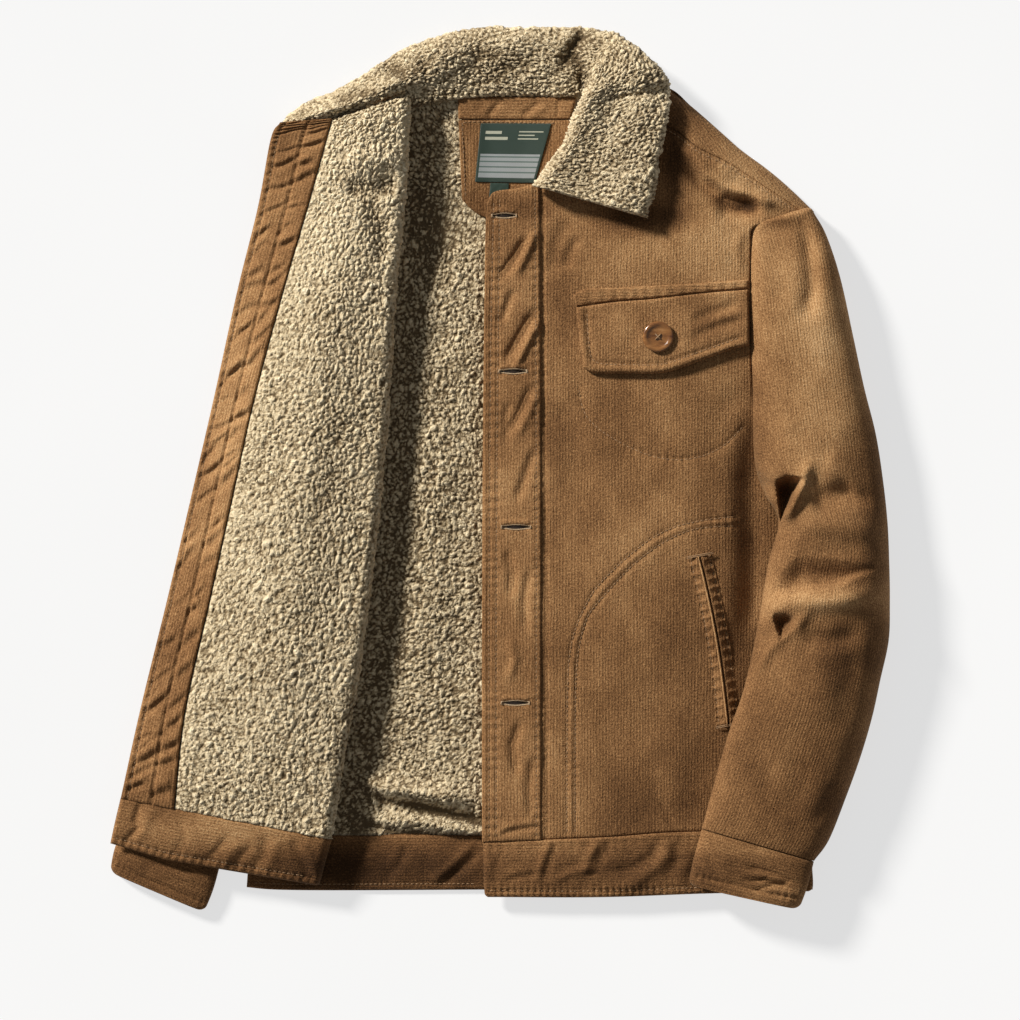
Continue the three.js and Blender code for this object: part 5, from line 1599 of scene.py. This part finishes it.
def cuff_surface(x, y):
    seam = 1.6 * np.exp(-((nearest(CUFF_SEAM, x, y)[0] / 2.4) ** 2))
    return fold_depth(CUFF_CREASES, x, y) - seam_relief([CUFF_STITCH], x, y, 2.0, 1.6, 0.7, 6) + seam


RIGHT_CUFF_STITCH = [(-327, -335.5), (-305, -345), (-280, -355.5), (-250, -368)]


def right_cuff_surface(x, y):
    return fold_depth(RIGHT_CUFF_CREASES, x, y) - seam_relief([RIGHT_CUFF_STITCH], x, y, 1.7, 1.6, 0.6, 6)


def build_sleeves():
    build_tube("left_sleeve_cloth", "left_sleeve", SLEEVE_STATIONS, 330, 148,
               sleeve_floor, sleeve_surface, True)
    build_tube("left_cuff_cloth", "left_cuff", CUFF_STATIONS, 30, 120, cuff_floor, cuff_surface,
               False, hidden=3, lengthwise=False)
    build_tube("right_sleeve_cloth", "right_sleeve", RIGHT_SLEEVE_STATIONS, 110, 60,
               ground, lambda x, y: 0.6 * soft_noise(x, y, 30, 44), True)
    build_tube("right_cuff_cloth", "right_cuff", RIGHT_CUFF_STATIONS, 30, 100, ground,
               right_cuff_surface, False, hidden=3, lengthwise=False)


# Right front, folded back on itself

FOLD_FLOOR = 8
CROWN_AT = 0.45
RIGHT_ROWS = table(
    "free_x free_y seam_x seam_y fold_x fold_y free_z seam_z mid_z fold_z",
    (-320, -279, -275, -288, -141, -314, 24, 27, 29, 29.5),
    (-303, -201, -266, -206, -126, -230, 19, 27, 33, 30),
    (-280, -106, -245, -111, -111, -130, 14, 25, 34.5, 30),
    (-258, -11, -224, -15, -99, -28, 12, 24, 35, 30),
    (-241, 63, -207, 61, -92, 50, 12, 24, 35, 30),
    (-222, 150, -183, 150, -87, 143, 12, 24, 34.5, 30),
    (-204, 223, -162, 222, -79, 216, 14, 25, 33, 30),
    (-193, 280, -145, 283, -74, 290, 20, 26, 31, 30),
    (-185, 294, -141, 297, -73, 320, 21, 25, 29, 29.5),
)
RIGHT_BAND_ROWS = table(
    "free_x free_y seam_x seam_y fold_x fold_y free_z seam_z mid_z fold_z",
    (-329, -317, -282, -331, -152, -353, 20, 22, 21, 20),
    (-325, -299, -279, -311, -147, -334, 23, 26, 26, 25),
    (-320.1, -278.4, -275.1, -287.4, -141.1, -313.4, 23.5, 26, 28, 28),
)


class FoldedRows:
    """Rows of a folded sheet at places `v` along it: plan points and heights by the distance from its free edge."""

    def __init__(self, rows, v, floor_z):
        get = {name: row_value(rows, name, v) for name in rows}
        self.free = np.stack([get["free_x"], get["free_y"]], -1)
        self.seam = np.stack([get["seam_x"], get["seam_y"]], -1)
        self.fold = np.stack([get["fold_x"], get["fold_y"]], -1)
        self.facing = np.linalg.norm(self.seam - self.free, axis=-1)
        self.lining = np.linalg.norm(self.fold - self.seam, axis=-1)
        self.total = self.facing + self.lining
        self.radius = (get["fold_z"] - floor_z) / 2
        self.get = get

    def plan(self, q):
        facing = (q / self.facing[:, None])[..., None]
        lining = ((q - self.facing[:, None]) / self.lining[:, None])[..., None]
        on_facing = lerp(self.free[:, None], self.seam[:, None], facing)
        on_lining = lerp(self.seam[:, None], self.fold[:, None], lining)
        return np.where((q < self.facing[:, None])[..., None], on_facing, on_lining)

    def height(self, q):
        out = np.empty(q.shape)
        for j in range(len(q)):
            keys = [0, self.facing[j], self.facing[j] + CROWN_AT * self.lining[j], self.total[j] - self.radius[j]]
            values = [self.get[name][j] for name in ("free_z", "seam_z", "mid_z", "fold_z")]
            out[j] = table_value(keys, values, q[j])
        return out


def folded_grid(rows, v, floor_z, start, drop, below, flat_count, curl_count, tail, relief=None):
    """A grid over a folded sheet: from `start` to the fold, round it and back under by `tail`."""
    sheet = FoldedRows(rows, v, floor_z)
    turn = sheet.total - sheet.radius
    first = start(sheet)
    f = np.linspace(0, 1, flat_count)[None, :]
    q = first[:, None] + (turn - first)[:, None] * f
    dropped = drop(q, sheet)
    z = sheet.height(q) - dropped - below
    inset = drop(turn[:, None], sheet) + below
    reach = sheet.radius[:, None] - inset
    angle = np.pi * (0.5 - np.linspace(0, 1, curl_count + 1)[None, 1:])
    round_q = turn[:, None] + reach * np.cos(angle)
    top = sheet.get["fold_z"][:, None]
    round_z = top - sheet.radius[:, None] + reach * np.sin(angle)
    back = np.linspace(0, 1, 4)[None, 1:]
    back_q = turn[:, None] - tail * back
    back_z = (top - 2 * sheet.radius[:, None] + inset) * np.ones(back.shape)
    all_q = np.concatenate([q, round_q, back_q], 1)
    all_z = np.concatenate([z, round_z, back_z], 1)
    points = np.concatenate([sheet.plan(all_q), all_z[..., None]], -1)
    return points, sheet, all_q


PILE_DROP = PILE + LAY_GAP
FACING_DROP = CORDUROY + LAY_GAP


def shell_drop(q, sheet):
    f = smoothstep(q / sheet.facing[:, None], 0.12, 0.5)
    return lerp(FACING_DROP, PILE_DROP, f) + SEAM_GAP


def no_drop(q, sheet):
    return 0 * q


def run_lengths(points):
    """Distance along each row of a grid, and down its first column."""
    across = np.linalg.norm(np.diff(points, axis=1), axis=2)
    down = np.linalg.norm(np.diff(points, axis=0), axis=2).mean(1)
    a = np.concatenate([np.zeros((len(points), 1)), np.cumsum(across, 1)], 1)
    b = np.r_[0, np.cumsum(down)][:, None] * np.ones(a.shape)
    return a, b


PILE_HOLLOWS = [
    ([(-134, 238), (-106, 236), (-80, 244)], 5.0, 8),
    ([(-130, 262), (-104, 262), (-80, 264)], -3.5, 9),
    ([(-112, 232), (-100, 206), (-96, 170)], 3.0, 8),
    ([(-200, 60), (-170, 20), (-160, -60)], -1.2, 20),
    ([(-128, 90), (-140, 10), (-150, -80)], 1.0, 18),
    ([(-180, -120), (-170, -200), (-180, -260)], -1.0, 22),
    ([(-116, -190), (-128, -230), (-136, -280)], 1.4, 12),
]


def build_right_lining():
    v = np.r_[0, 0.0015, np.linspace(0.004, 0.996, 480), 0.9985, 1]
    points, sheet, q = folded_grid(
        RIGHT_ROWS, v, FOLD_FLOOR, lambda s: s.facing + SEAM_GAP, no_drop, 0, 112, 22, 10)
    under, _, _ = folded_grid(
        RIGHT_ROWS, v, FOLD_FLOOR, lambda s: s.facing + SEAM_GAP, no_drop, PILE, 112, 22, 10)
    a, b = run_lengths(points)
    normal = surface_normals(points)
    normal *= np.sign(normal[:, :50, 2].mean())
    height = pile_height(a, b, 51)
    hollows = fold_depth(PILE_HOLLOWS, points[..., 0], points[..., 1])
    soft = np.maximum(1.0 * soft_noise(a, b, 30, 53) - hollows, -4.6)
    lifted = points + normal * (CURL_HEIGHT * (height - 0.62) + soft)[..., None]
    from_top = b.max() - b
    lifted[..., 2] -= 7 * (1 - np.sqrt(1 - (1 - np.clip(from_top / 12, 0, 1)) ** 2))
    edge_in = smoothstep(a, 0, 5)[..., None]
    lifted = lerp(points - (0, 0, 1.5), lifted, edge_in)
    rim = np.zeros(a.shape, bool)
    rim[0], rim[-1], rim[:, 0], rim[:, -1] = True, True, True, True
    lifted = np.where(rim[..., None], lerp(under, points, 0.5), lifted)
    # Painted shade deep in the hollows and along the crease at the top edge; the whole is also made lighter towards
    # the collar.
    tone = painted_fold_shade(height, hollows) - 0.35 * np.exp(-((from_top / 5) ** 2))
    tone += 0.04 + 0.14 * smoothstep(points[..., 1], 110, 200)
    under[..., 2] -= 5 * (1 - np.clip(from_top / 12, 0, 1))
    piece = two_faced("right_lining_pile", lifted, under, np.dstack([a, b]), tone, 6)
    settle(piece, "right_lining", "pile", PILE_CLOTH)


def build_right_shell():
    v = np.linspace(0, 1, 90)
    grid = dict(rows=RIGHT_ROWS, v=v, floor_z=FOLD_FLOOR, start=lambda s: 1.5 + 0 * s.facing, drop=shell_drop,
                flat_count=60, curl_count=12, tail=12)
    top, _, _ = folded_grid(below=0, **grid)
    under, _, _ = folded_grid(below=CORDUROY, **grid)
    a, b = run_lengths(top)
    piece = two_faced("right_front_cloth", top, under, np.dstack([a, b]))
    settle(piece, "right_front", "corduroy", CLOTH)


FACING_MIDDLE = 0.58


def facing_folds():
    """Uneven slanted crinkles down the facing's two halves, in distance from the free edge and run."""
    rng = np.random.default_rng(61)
    folds = []
    for low, high in ((0.06, 0.6), (0.56, 1.0)):
        place = 6
        while place < 590:
            slant = rng.uniform(4, 22)
            start, end = (low, high) if rng.random() < 0.7 else (low, lerp(low, high, rng.uniform(0.5, 0.8)))
            bend = rng.uniform(-3, 3)
            line = [(40 * start, place), (20 * (start + end), place + slant / 2 + bend), (40 * end, place + slant)]
            width = rng.uniform(1.5, 4.2)
            folds.append((line, min(width, 3.2) * rng.uniform(0.4, 0.85), width))
            shift = width * rng.uniform(1.3, 1.8)
            folds.append(([(x, y + shift) for x, y in line], -width * rng.uniform(0.25, 0.6), width))
            place += rng.uniform(8, 26)
    return folds


def build_facing():
    v = spread(600, 1.9, 3)
    sheet = FoldedRows(RIGHT_ROWS, v, FOLD_FLOOR)
    us = spread(40, 1.1, 3)
    q = sheet.facing[:, None] * us[None, :]
    plan = sheet.plan(q)
    z = sheet.height(q)
    width = 40 * us[None, :] * np.ones(q.shape)
    run = 600 * v[:, None] * np.ones(q.shape)
    relief = -fold_depth(facing_folds(), width, run)
    relief -= 1.5 * np.exp(-(((width - 40 * FACING_MIDDLE) / 1.5) ** 2))
    relief -= 1.2 * np.exp(-(((width - 5) / 1.2) ** 2))
    notch = np.sin(run * 2 * np.pi / 8.5 + 2 * soft_noise(width, run, 40, 62))
    relief += 0.7 * notch * np.exp(-(((width - 2.5) / 2.5) ** 2))
    relief += 0.6 * notch * np.exp(-(((width - 40 * FACING_MIDDLE - 1.5) / 3) ** 2))
    relief += 0.4 * soft_noise(width, run, 16, 63)
    top = z + 0.6 + relief * smoothstep(np.minimum(us, 1 - us)[None, :] * 40, 0, 2)
    under = z - CORDUROY
    rim = lerp(under, top, 0.45)
    open_wall = rim_round(us, v, (40, 600), (3, 3, 3, 3))
    top, under = lerp(rim, top, open_wall), lerp(rim, under, open_wall)
    make = lambda h: np.concatenate([plan, h[..., None]], -1)
    piece = two_faced("right_facing_cloth", make(top), make(under), np.dstack([width, run]))
    settle(piece, "right_facing", "corduroy", CLOTH)
    runs = []
    for share in (5 / 40,):
        i = int(np.argmin(np.abs(us - share)))
        line = np.column_stack([plan[2:-2, i], top[2:-2, i] + 0.15])
        runs.append(line)
    stitch_mesh("facing_stitches", runs)


RIGHT_HEM_FOLDS = [
    ([(-300, -272), (-307.6, -297.5), (-304, -303), (-322, -322)], 4.2, 2.6),
    ([(-288, -280), (-299, -300), (-308, -318)], -2.0, 4),
    ([(-270, -292), (-266, -312), (-276, -330)], 1.6, 4),
    ([(-258, -326), (-248, -332), (-238, -322), (-226, -306)], 2.6, 2.8),
    ([(-236, -338), (-228, -326), (-216, -312)], -1.8, 3.4),
    ([(-228, -342), (-218, -328), (-206, -316)], 2.4, 3),
    ([(-196, -306), (-200, -328), (-214, -346)], 2.2, 4),
    ([(-186, -310), (-190, -328), (-202, -346)], -1.8, 4),
    ([(-176, -312), (-168, -328), (-158, -350)], 2.6, 3.6),
    ([(-166, -312), (-160, -328), (-152, -344)], -1.6, 3.6),
]
RIGHT_HEM_FOLDS = softened(RIGHT_HEM_FOLDS)


def build_right_hem():
    v = spread(42, 1.4, 3)
    grid = dict(rows=RIGHT_BAND_ROWS, v=v, floor_z=BAND + 2.6, start=lambda s: 0 * s.facing, drop=no_drop,
                flat_count=120, curl_count=12, tail=12)
    top, sheet, q = folded_grid(below=0, **grid)
    under, _, _ = folded_grid(below=BAND, **grid)
    a, b = run_lengths(top)
    relief = -fold_depth(RIGHT_HEM_FOLDS, top[..., 0], top[..., 1]) + 0.3 * soft_noise(a, b, 14, 71)
    relief -= 1.1 * np.exp(-(((b - 6) / 1.5) ** 2))
    relief += 0.5 * np.sin(a * 2 * np.pi / 7 + 2 * soft_noise(a, b, 30, 72)) * np.exp(-(((b - 4) / 4) ** 2))
    on_top = q <= (sheet.total - sheet.radius)[:, None]
    lifted = top.copy()
    lifted[..., 2] += np.where(on_top, relief, 0)
    rows, columns = a.shape
    across = np.minimum(a, a[:, -1:] - a)
    along = np.minimum(b / 3, (b[-1:] - b) / 1.2)
    inside = np.clip(np.minimum(across / 3, along), 0, 1)
    open_wall = np.sqrt(1 - (1 - inside) ** 2)[..., None]
    rim = lerp(under, lifted, 0.5)
    piece = two_faced("right_hem_band_cloth", lerp(rim, lifted, open_wall), lerp(rim, under, open_wall),
                      np.dstack([b, a]))
    settle(piece, "right_hem_band", "corduroy", CLOTH)
    j = int(np.argmin(np.abs(b[:, 0] - 6)))
    stitch_mesh("right_hem_stitches", [lifted[j, 2:115] + (0, 0, 0.15)])


BUTTON_PLACES = (0.85, 0.62, 0.39, 0.15)
BUTTON_INSET = 20
BUTTON_SEAT = 1


def build_front_buttons():
    for i, v in enumerate(BUTTON_PLACES):
        sheet = FoldedRows(RIGHT_ROWS, np.array([v]), FOLD_FLOOR)
        q = np.array([[BUTTON_INSET, BUTTON_INSET + BUTTON_RADIUS]], float)
        z = (sheet.height(q) - shell_drop(q, sheet) - CORDUROY)[0]
        plan = sheet.plan(q)[0]
        rise = (z[1] - z[0]) / BUTTON_RADIUS**2
        down = np.array([rise * (plan[1, 0] - plan[0, 0]), rise * (plan[1, 1] - plan[0, 1]), -1])
        down /= np.linalg.norm(down)
        seat = np.array([*plan[0], z[0]]) + down * BUTTON_SEAT
        build_button(f"front_button_{i + 1}_horn", f"front_button_{i + 1}", seat[:2], down, seat[2])


# Collar

ROLL_RADIUS = 12
ROLL_CENTRE = 27
ROLL_SHARE = 0.4
ROLL_START = 1.2
LEAF_CLEAR = 1
LEAF_LIFT = 6
COLLAR_ROLL = 9
COLLAR_STATIONS = table(
    "root_x root_y edge_x edge_y roll lift",
    (-183, 289, -186, 293, 0, 8),
    (-158, 288, -169, 309, 0, 8),
    (-122, 294, -127, 328, 0, 9),
    (-84, 303, -85, 355, 0, 9),
    (-45, 312, -46, 370, 0, 2),
    (-5, 316.2, -8, 376, 0, 0),
    (35, 316.2, 40, 376, 0.05, 0),
    (66, 317, 86, 374.5, 0.2, 0),
    (72, 334, 112, 363, 0.65, 0),
    (70, 320, 137, 340, 0.95, 0),
    (65, 306, 146, 322, 1, 0),
    (59, 287, 144, 297, 1, 0),
    (50, 269, 139, 272, 1, 0),
    (38, 254, 134, 240, 1, 0),
    (27, 240, 126, 212, 1, 0),
)
COLLAR_FLAT = table("s top under", (0, 9, 0), (0.25, 12.5, 2), (0.5, 17, 7), (0.8, 16, 6), (1, 10, 0))


def collar_grid(s, t, layer):
    """Points of the collar's upper or under face: s from its root to its edge, t along it."""
    get = {name: row_value(COLLAR_STATIONS, name, t)[:, None] for name in COLLAR_STATIONS}
    dx, dy = get["edge_x"] - get["root_x"], get["edge_y"] - get["root_y"]
    length = np.hypot(dx, dy)
    s = s[None, :] * np.ones(length.shape)
    below = COLLAR_WALL if layer == "under" else 0
    flat_q = s * length
    flat_z = table_value(COLLAR_FLAT["s"], COLLAR_FLAT[layer], s) + get["lift"] * (1 - s) ** 2
    if layer == "top":
        beside = smoothstep(get["root_x"], -176, -140) * (1 - smoothstep(get["root_x"], -84, -40))
        flat_z = flat_z + COLLAR_ROLL * beside * np.exp(-(((s - 0.46) / 0.2) ** 2))
    reach = ROLL_RADIUS - below
    angle = np.pi * lerp(ROLL_START, 0.5, np.clip(s / ROLL_SHARE, 0, 1))
    out = np.clip((s - ROLL_SHARE) / (1 - ROLL_SHARE), 0, 1)
    tip_z = front_base(get["edge_x"], get["edge_y"]) + COLLAR_WALL + LEAF_CLEAR
    raised = LEAF_LIFT * smoothstep(out, 0.2, 0.7) * (layer == "top")
    leaf_z = lerp(ROLL_CENTRE + ROLL_RADIUS, tip_z, out**1.2) - below + raised
    turning = s < ROLL_SHARE
    rolled_q = np.where(turning, ROLL_RADIUS + reach * np.cos(angle), lerp(ROLL_RADIUS, length, out))
    rolled_z = np.where(turning, ROLL_CENTRE + reach * np.sin(angle), leaf_z)
    q, z = lerp(flat_q, rolled_q, get["roll"]), lerp(flat_z, rolled_z, get["roll"])
    x, y = get["root_x"] + dx * q / length, get["root_y"] + dy * q / length
    return np.dstack([x, y, np.maximum(z, 0)])


COLLAR_FOLDS = [
    ([(76, 374), (62, 356), (50, 338)], 6.5, 6),
    ([(64, 356), (69, 338), (73, 318)], 5, 5),
    ([(-30, 352), (0, 342), (40, 346)], 2.5, 10),
    ([(-104, 346), (-80, 336), (-50, 338)], 4, 7),
    ([(-140, 310), (-118, 316), (-92, 322)], 4, 5),
    ([(-60, 360), (-40, 352), (-20, 356)], -2, 8),
    ([(84, 330), (96, 316), (98, 296)], -1.5, 12),
    ([(120, 300), (112, 270), (104, 246)], 1.2, 14),
]


def build_collar():
    s = np.r_[0, 0.01, np.linspace(0.025, 0.975, 96), 0.99, 1]
    t = np.r_[0, 0.001, np.linspace(0.003, 0.997, 430), 0.999, 1]
    top, under = collar_grid(s, t, "top"), collar_grid(s, t, "under")
    a, b = run_lengths(top)
    normal = surface_normals(top)
    normal *= np.sign(normal[..., 2].mean())
    height = pile_height(a * 1.15, b * 1.15, 81)
    folds = fold_depth(COLLAR_FOLDS, top[..., 0], top[..., 1])
    soft = 1.4 * soft_noise(a, b, 22, 83)
    fringe = 1.6 * soft_noise(b, b * 0, 4.5, 84) + 1.0 * soft_noise(b, b * 0 + 9, 9, 85)
    outward = smoothstep(a / a[:, -1:], 0.8, 1)[..., None]
    reach = (top[:, -1:] - top[:, -2:-1]) / np.linalg.norm(top[:, -1:] - top[:, -2:-1], axis=-1, keepdims=True)
    top = top + outward * np.minimum(fringe, 0.4)[..., None] * reach * (1, 1, 0)
    under = under + outward * np.minimum(fringe, 0.4)[..., None] * reach * (1, 1, 0)
    lifted = top + normal * (CURL_HEIGHT * (height - 0.62) + soft)[..., None]
    lifted[..., 2] -= folds
    shares = np.minimum(s, 1 - s)[None, :] * 70
    ends = np.minimum(t, 1 - t)[:, None] * 560
    inside = np.clip(np.minimum(shares, ends) / 4, 0, 1)
    open_wall = np.sqrt(1 - (1 - inside) ** 2)[..., None]
    rim = lerp(under, top, 0.5)
    outer = smoothstep(shares, 4, 0)[..., None] * np.sign(s - 0.5)[None, :, None]
    rim = rim + outer * (2.4 * (height - 0.45))[..., None] * reach * (1, 1, 0)
    upper = lerp(rim, lifted, open_wall)
    lower = lerp(rim, under, open_wall)
    # Painted shade deep in the folds and along the crease at the collar's root.
    root = np.exp(-((a / 6) ** 2)) * (1 - smoothstep(top[..., 0], -60, -30))
    piece = two_faced("collar_pile", upper, lower, np.dstack([a, b]), painted_fold_shade(height, folds) - 0.35 * root, 5)
    settle(piece, "collar", "pile", PILE_CLOTH)


# Neck band, patch, label and tab

PATCH_CLOTH = 1.8
ON_PILE = 0.6
LABEL_CLOTH = 0.8
neck_band_plan = patch(
    bottom=edge([(-34, 297.3), (61, 297.3)]),
    top=edge([(-34.5, 316), (20, 316.5), (66, 316)]),
    left=edge([(-34, 297.3), (-34.5, 316)]),
    right=edge([(61, 297.3), (66, 316)]),
)
patch_plan = patch(
    bottom=edge([(-31, 229), (-22, 220), (-11, 214), (24, 214)]),
    top=edge([(-34, 296.7), (68, 296.7)]),
    left=edge([(-31, 229), (-34, 296.7)]),
    right=edge([(24, 214), (50, 244), (68, 296.7)]),
)
label_plan = patch(
    bottom=edge([(-20, 244), (31, 243)]),
    top=edge([(-15, 294), (45, 293.5)]),
    left=edge([(-20, 244), (-15, 294)]),
    right=edge([(31, 243), (45, 293.5)]),
)
tab_plan = patch(
    bottom=edge([(-8, 231), (8, 231)]),
    top=edge([(-7, 243.2), (9, 242.8)]),
    left=edge([(-8, 231), (-7, 243.2)]),
    right=edge([(8, 231), (9, 242.8)]),
)
NECK_FOLDS = [
    ([(-9, 299), (-3, 307), (3, 314)], 1.1, 2.6),
    ([(-15, 299), (-10, 306), (-6, 313)], -0.6, 3),
    ([(18, 299), (28, 306), (36, 313)], 1.1, 3),
    ([(26, 299), (36, 305), (44, 311)], -0.7, 3),
    ([(50, 298), (50.5, 307), (51, 315)], 1.0, 1.6),
]
PATCH_FOLDS = [
    ([(-27, 288), (-26, 262), (-24, 236)], 0.6, 4),
    ([(-22, 238), (-14, 230), (-8, 226)], 0.6, 4),
    ([(46, 290), (44, 276), (42, 262)], 0.5, 4),
]


def on_lining(name, node, plan, step, lift, thickness, slot, material, size, radius, folds=(), cut=None, area=None):
    base = lambda x, y: lining_height(x, y) + lift
    piece = panel(
        name, plan, step,
        upper=lambda x, y, u, v: base(x, y) + thickness - fold_depth(folds, x, y),
        lower=lambda x, y, u, v: base(x, y),
        radius=radius, cut=cut,
    )
    settle(piece, node, slot, material)


def build_neck():
    on_lining("neck_band_cloth", "neck_band", neck_band_plan, 1.2, ON_PILE, CORDUROY + 0.6, "corduroy", CLOTH,
              (0.1, 0.019), 2.2, NECK_FOLDS, along_band)
    on_lining("neck_patch_cloth", "neck_patch", patch_plan, 1.6, ON_PILE, PATCH_CLOTH, "corduroy", CLOTH,
              (0.102, 0.083), 1.8, PATCH_FOLDS, None, 0.007)
    on_patch = ON_PILE + PATCH_CLOTH + SEAM_GAP
    on_lining("label_woven", "label", label_plan, 1.5, on_patch, LABEL_CLOTH, "woven_label", WOVEN,
              (0.06, 0.051), 0.7, (), lambda x, y, u, v: np.dstack([60 * u, 50 * v]), 0.0028)
    on_lining("loop_tab_woven", "loop_tab", tab_plan, 1.5, on_patch, LABEL_CLOTH, "woven_label", WOVEN,
              (0.016, 0.012), 0.6, (), lambda x, y, u, v: np.dstack([30 + 2 * u, 30 + 1 * v]))
    top = lambda x, y: lining_height(x, y) + ON_PILE + PATCH_CLOTH
    runs = [on_height([(-28, 232), (-31, 293), (-31, 294), (48, 293.8)], top)]
    stitch_mesh("neck_stitches", runs)


# Floor, light and camera

FLOOR_GLOW = 0.672
# Ovals well inside the jacket's outline, where the floor gets no light: centre and reach in metres
COVERED = [((0.12, -0.06), (0.185, 0.25)), ((-0.03, 0.29), (0.085, 0.062))]


def build_studio():
    bpy.ops.mesh.primitive_plane_add(size=16, location=(0, 0, -0.0005))
    floor = bpy.context.object
    floor.name = "floor"
    s = Shader("floor")
    place = s.add("ShaderNodeTexCoord").outputs["Object"]
    grey = s.ramp(s.noise(place, 3, 2.0), (0.3, (0.255, 0.255, 0.255)), (0.7, (0.27, 0.27, 0.27)))
    s.link(grey, s.surface.inputs["Base Color"])
    socket(s.surface, "Emission Color", (1.0, 1.0, 1.0, 1))
    glow = FLOOR_GLOW
    for centre, reach in COVERED:
        moved = s.add("ShaderNodeVectorMath", operation="SUBTRACT")
        s.link(place, moved.inputs[0])
        moved.inputs[1].default_value = (*centre, 0)
        scaled = s.add("ShaderNodeVectorMath", operation="DIVIDE")
        s.link(moved.outputs[0], scaled.inputs[0])
        scaled.inputs[1].default_value = (*reach, 1)
        length = s.add("ShaderNodeVectorMath", operation="LENGTH")
        s.link(scaled.outputs[0], length.inputs[0])
        edge_on = s.add("ShaderNodeMapRange", interpolation_type="SMOOTHSTEP")
        socket(edge_on, "From Min", 0.88)
        socket(edge_on, "From Max", 1.0)
        s.link(length.outputs["Value"], edge_on.inputs["Value"])
        glow = s.math("MULTIPLY", edge_on.outputs["Result"], glow)
    s.link(glow, s.surface.inputs["Emission Strength"])
    socket(s.surface, "Roughness", 1.0)
    socket(s.surface, "Specular IOR Level", 0.0)
    floor.data.materials.append(s.material)

    scene = bpy.context.scene
    world = bpy.data.worlds.new("studio")
    scene.world = world
    world.use_nodes = True
    background = world.node_tree.nodes["Background"]
    background.inputs["Color"].default_value = (0.96, 0.98, 1.0, 1)
    background.inputs["Strength"].default_value = 0.2

    key = bpy.data.lights.new("key", "SUN")
    key.energy = 5.75
    key.angle = math.radians(9)
    key.color = (1.0, 0.975, 0.93)
    lamp = bpy.data.objects.new("key", key)
    scene.collection.objects.link(lamp)
    lamp.rotation_euler = Vector((-KEY_FROM[0], -KEY_FROM[1], -KEY_FROM[2])).to_track_quat("-Z", "Y").to_euler()

    camera = bpy.data.cameras.new("camera")
    camera.lens = 36 * CAMERA_HEIGHT / FRAME_WIDTH
    camera.clip_end = 50
    camera_object = bpy.data.objects.new("camera", camera)
    scene.collection.objects.link(camera_object)
    camera_object.location = (*CAMERA_CENTRE, CAMERA_HEIGHT)
    scene.camera = camera_object
    scene.view_settings.view_transform = "Standard"
    scene.view_settings.look = "None"


KEY_FROM = (-0.68, 0.54, 0.43)
CAMERA_HEIGHT = 6.0
FRAME_WIDTH = 0.867
CAMERA_CENTRE = (0.00975, -0.0345)


build_studio()
build_back()
build_back_hem()
build_front()
build_placket()
build_left_hem()
build_pocket()
build_lips()
build_sleeves()
build_right_shell()
build_right_lining()
build_facing()
build_right_hem()
build_front_buttons()
build_collar()
build_neck()
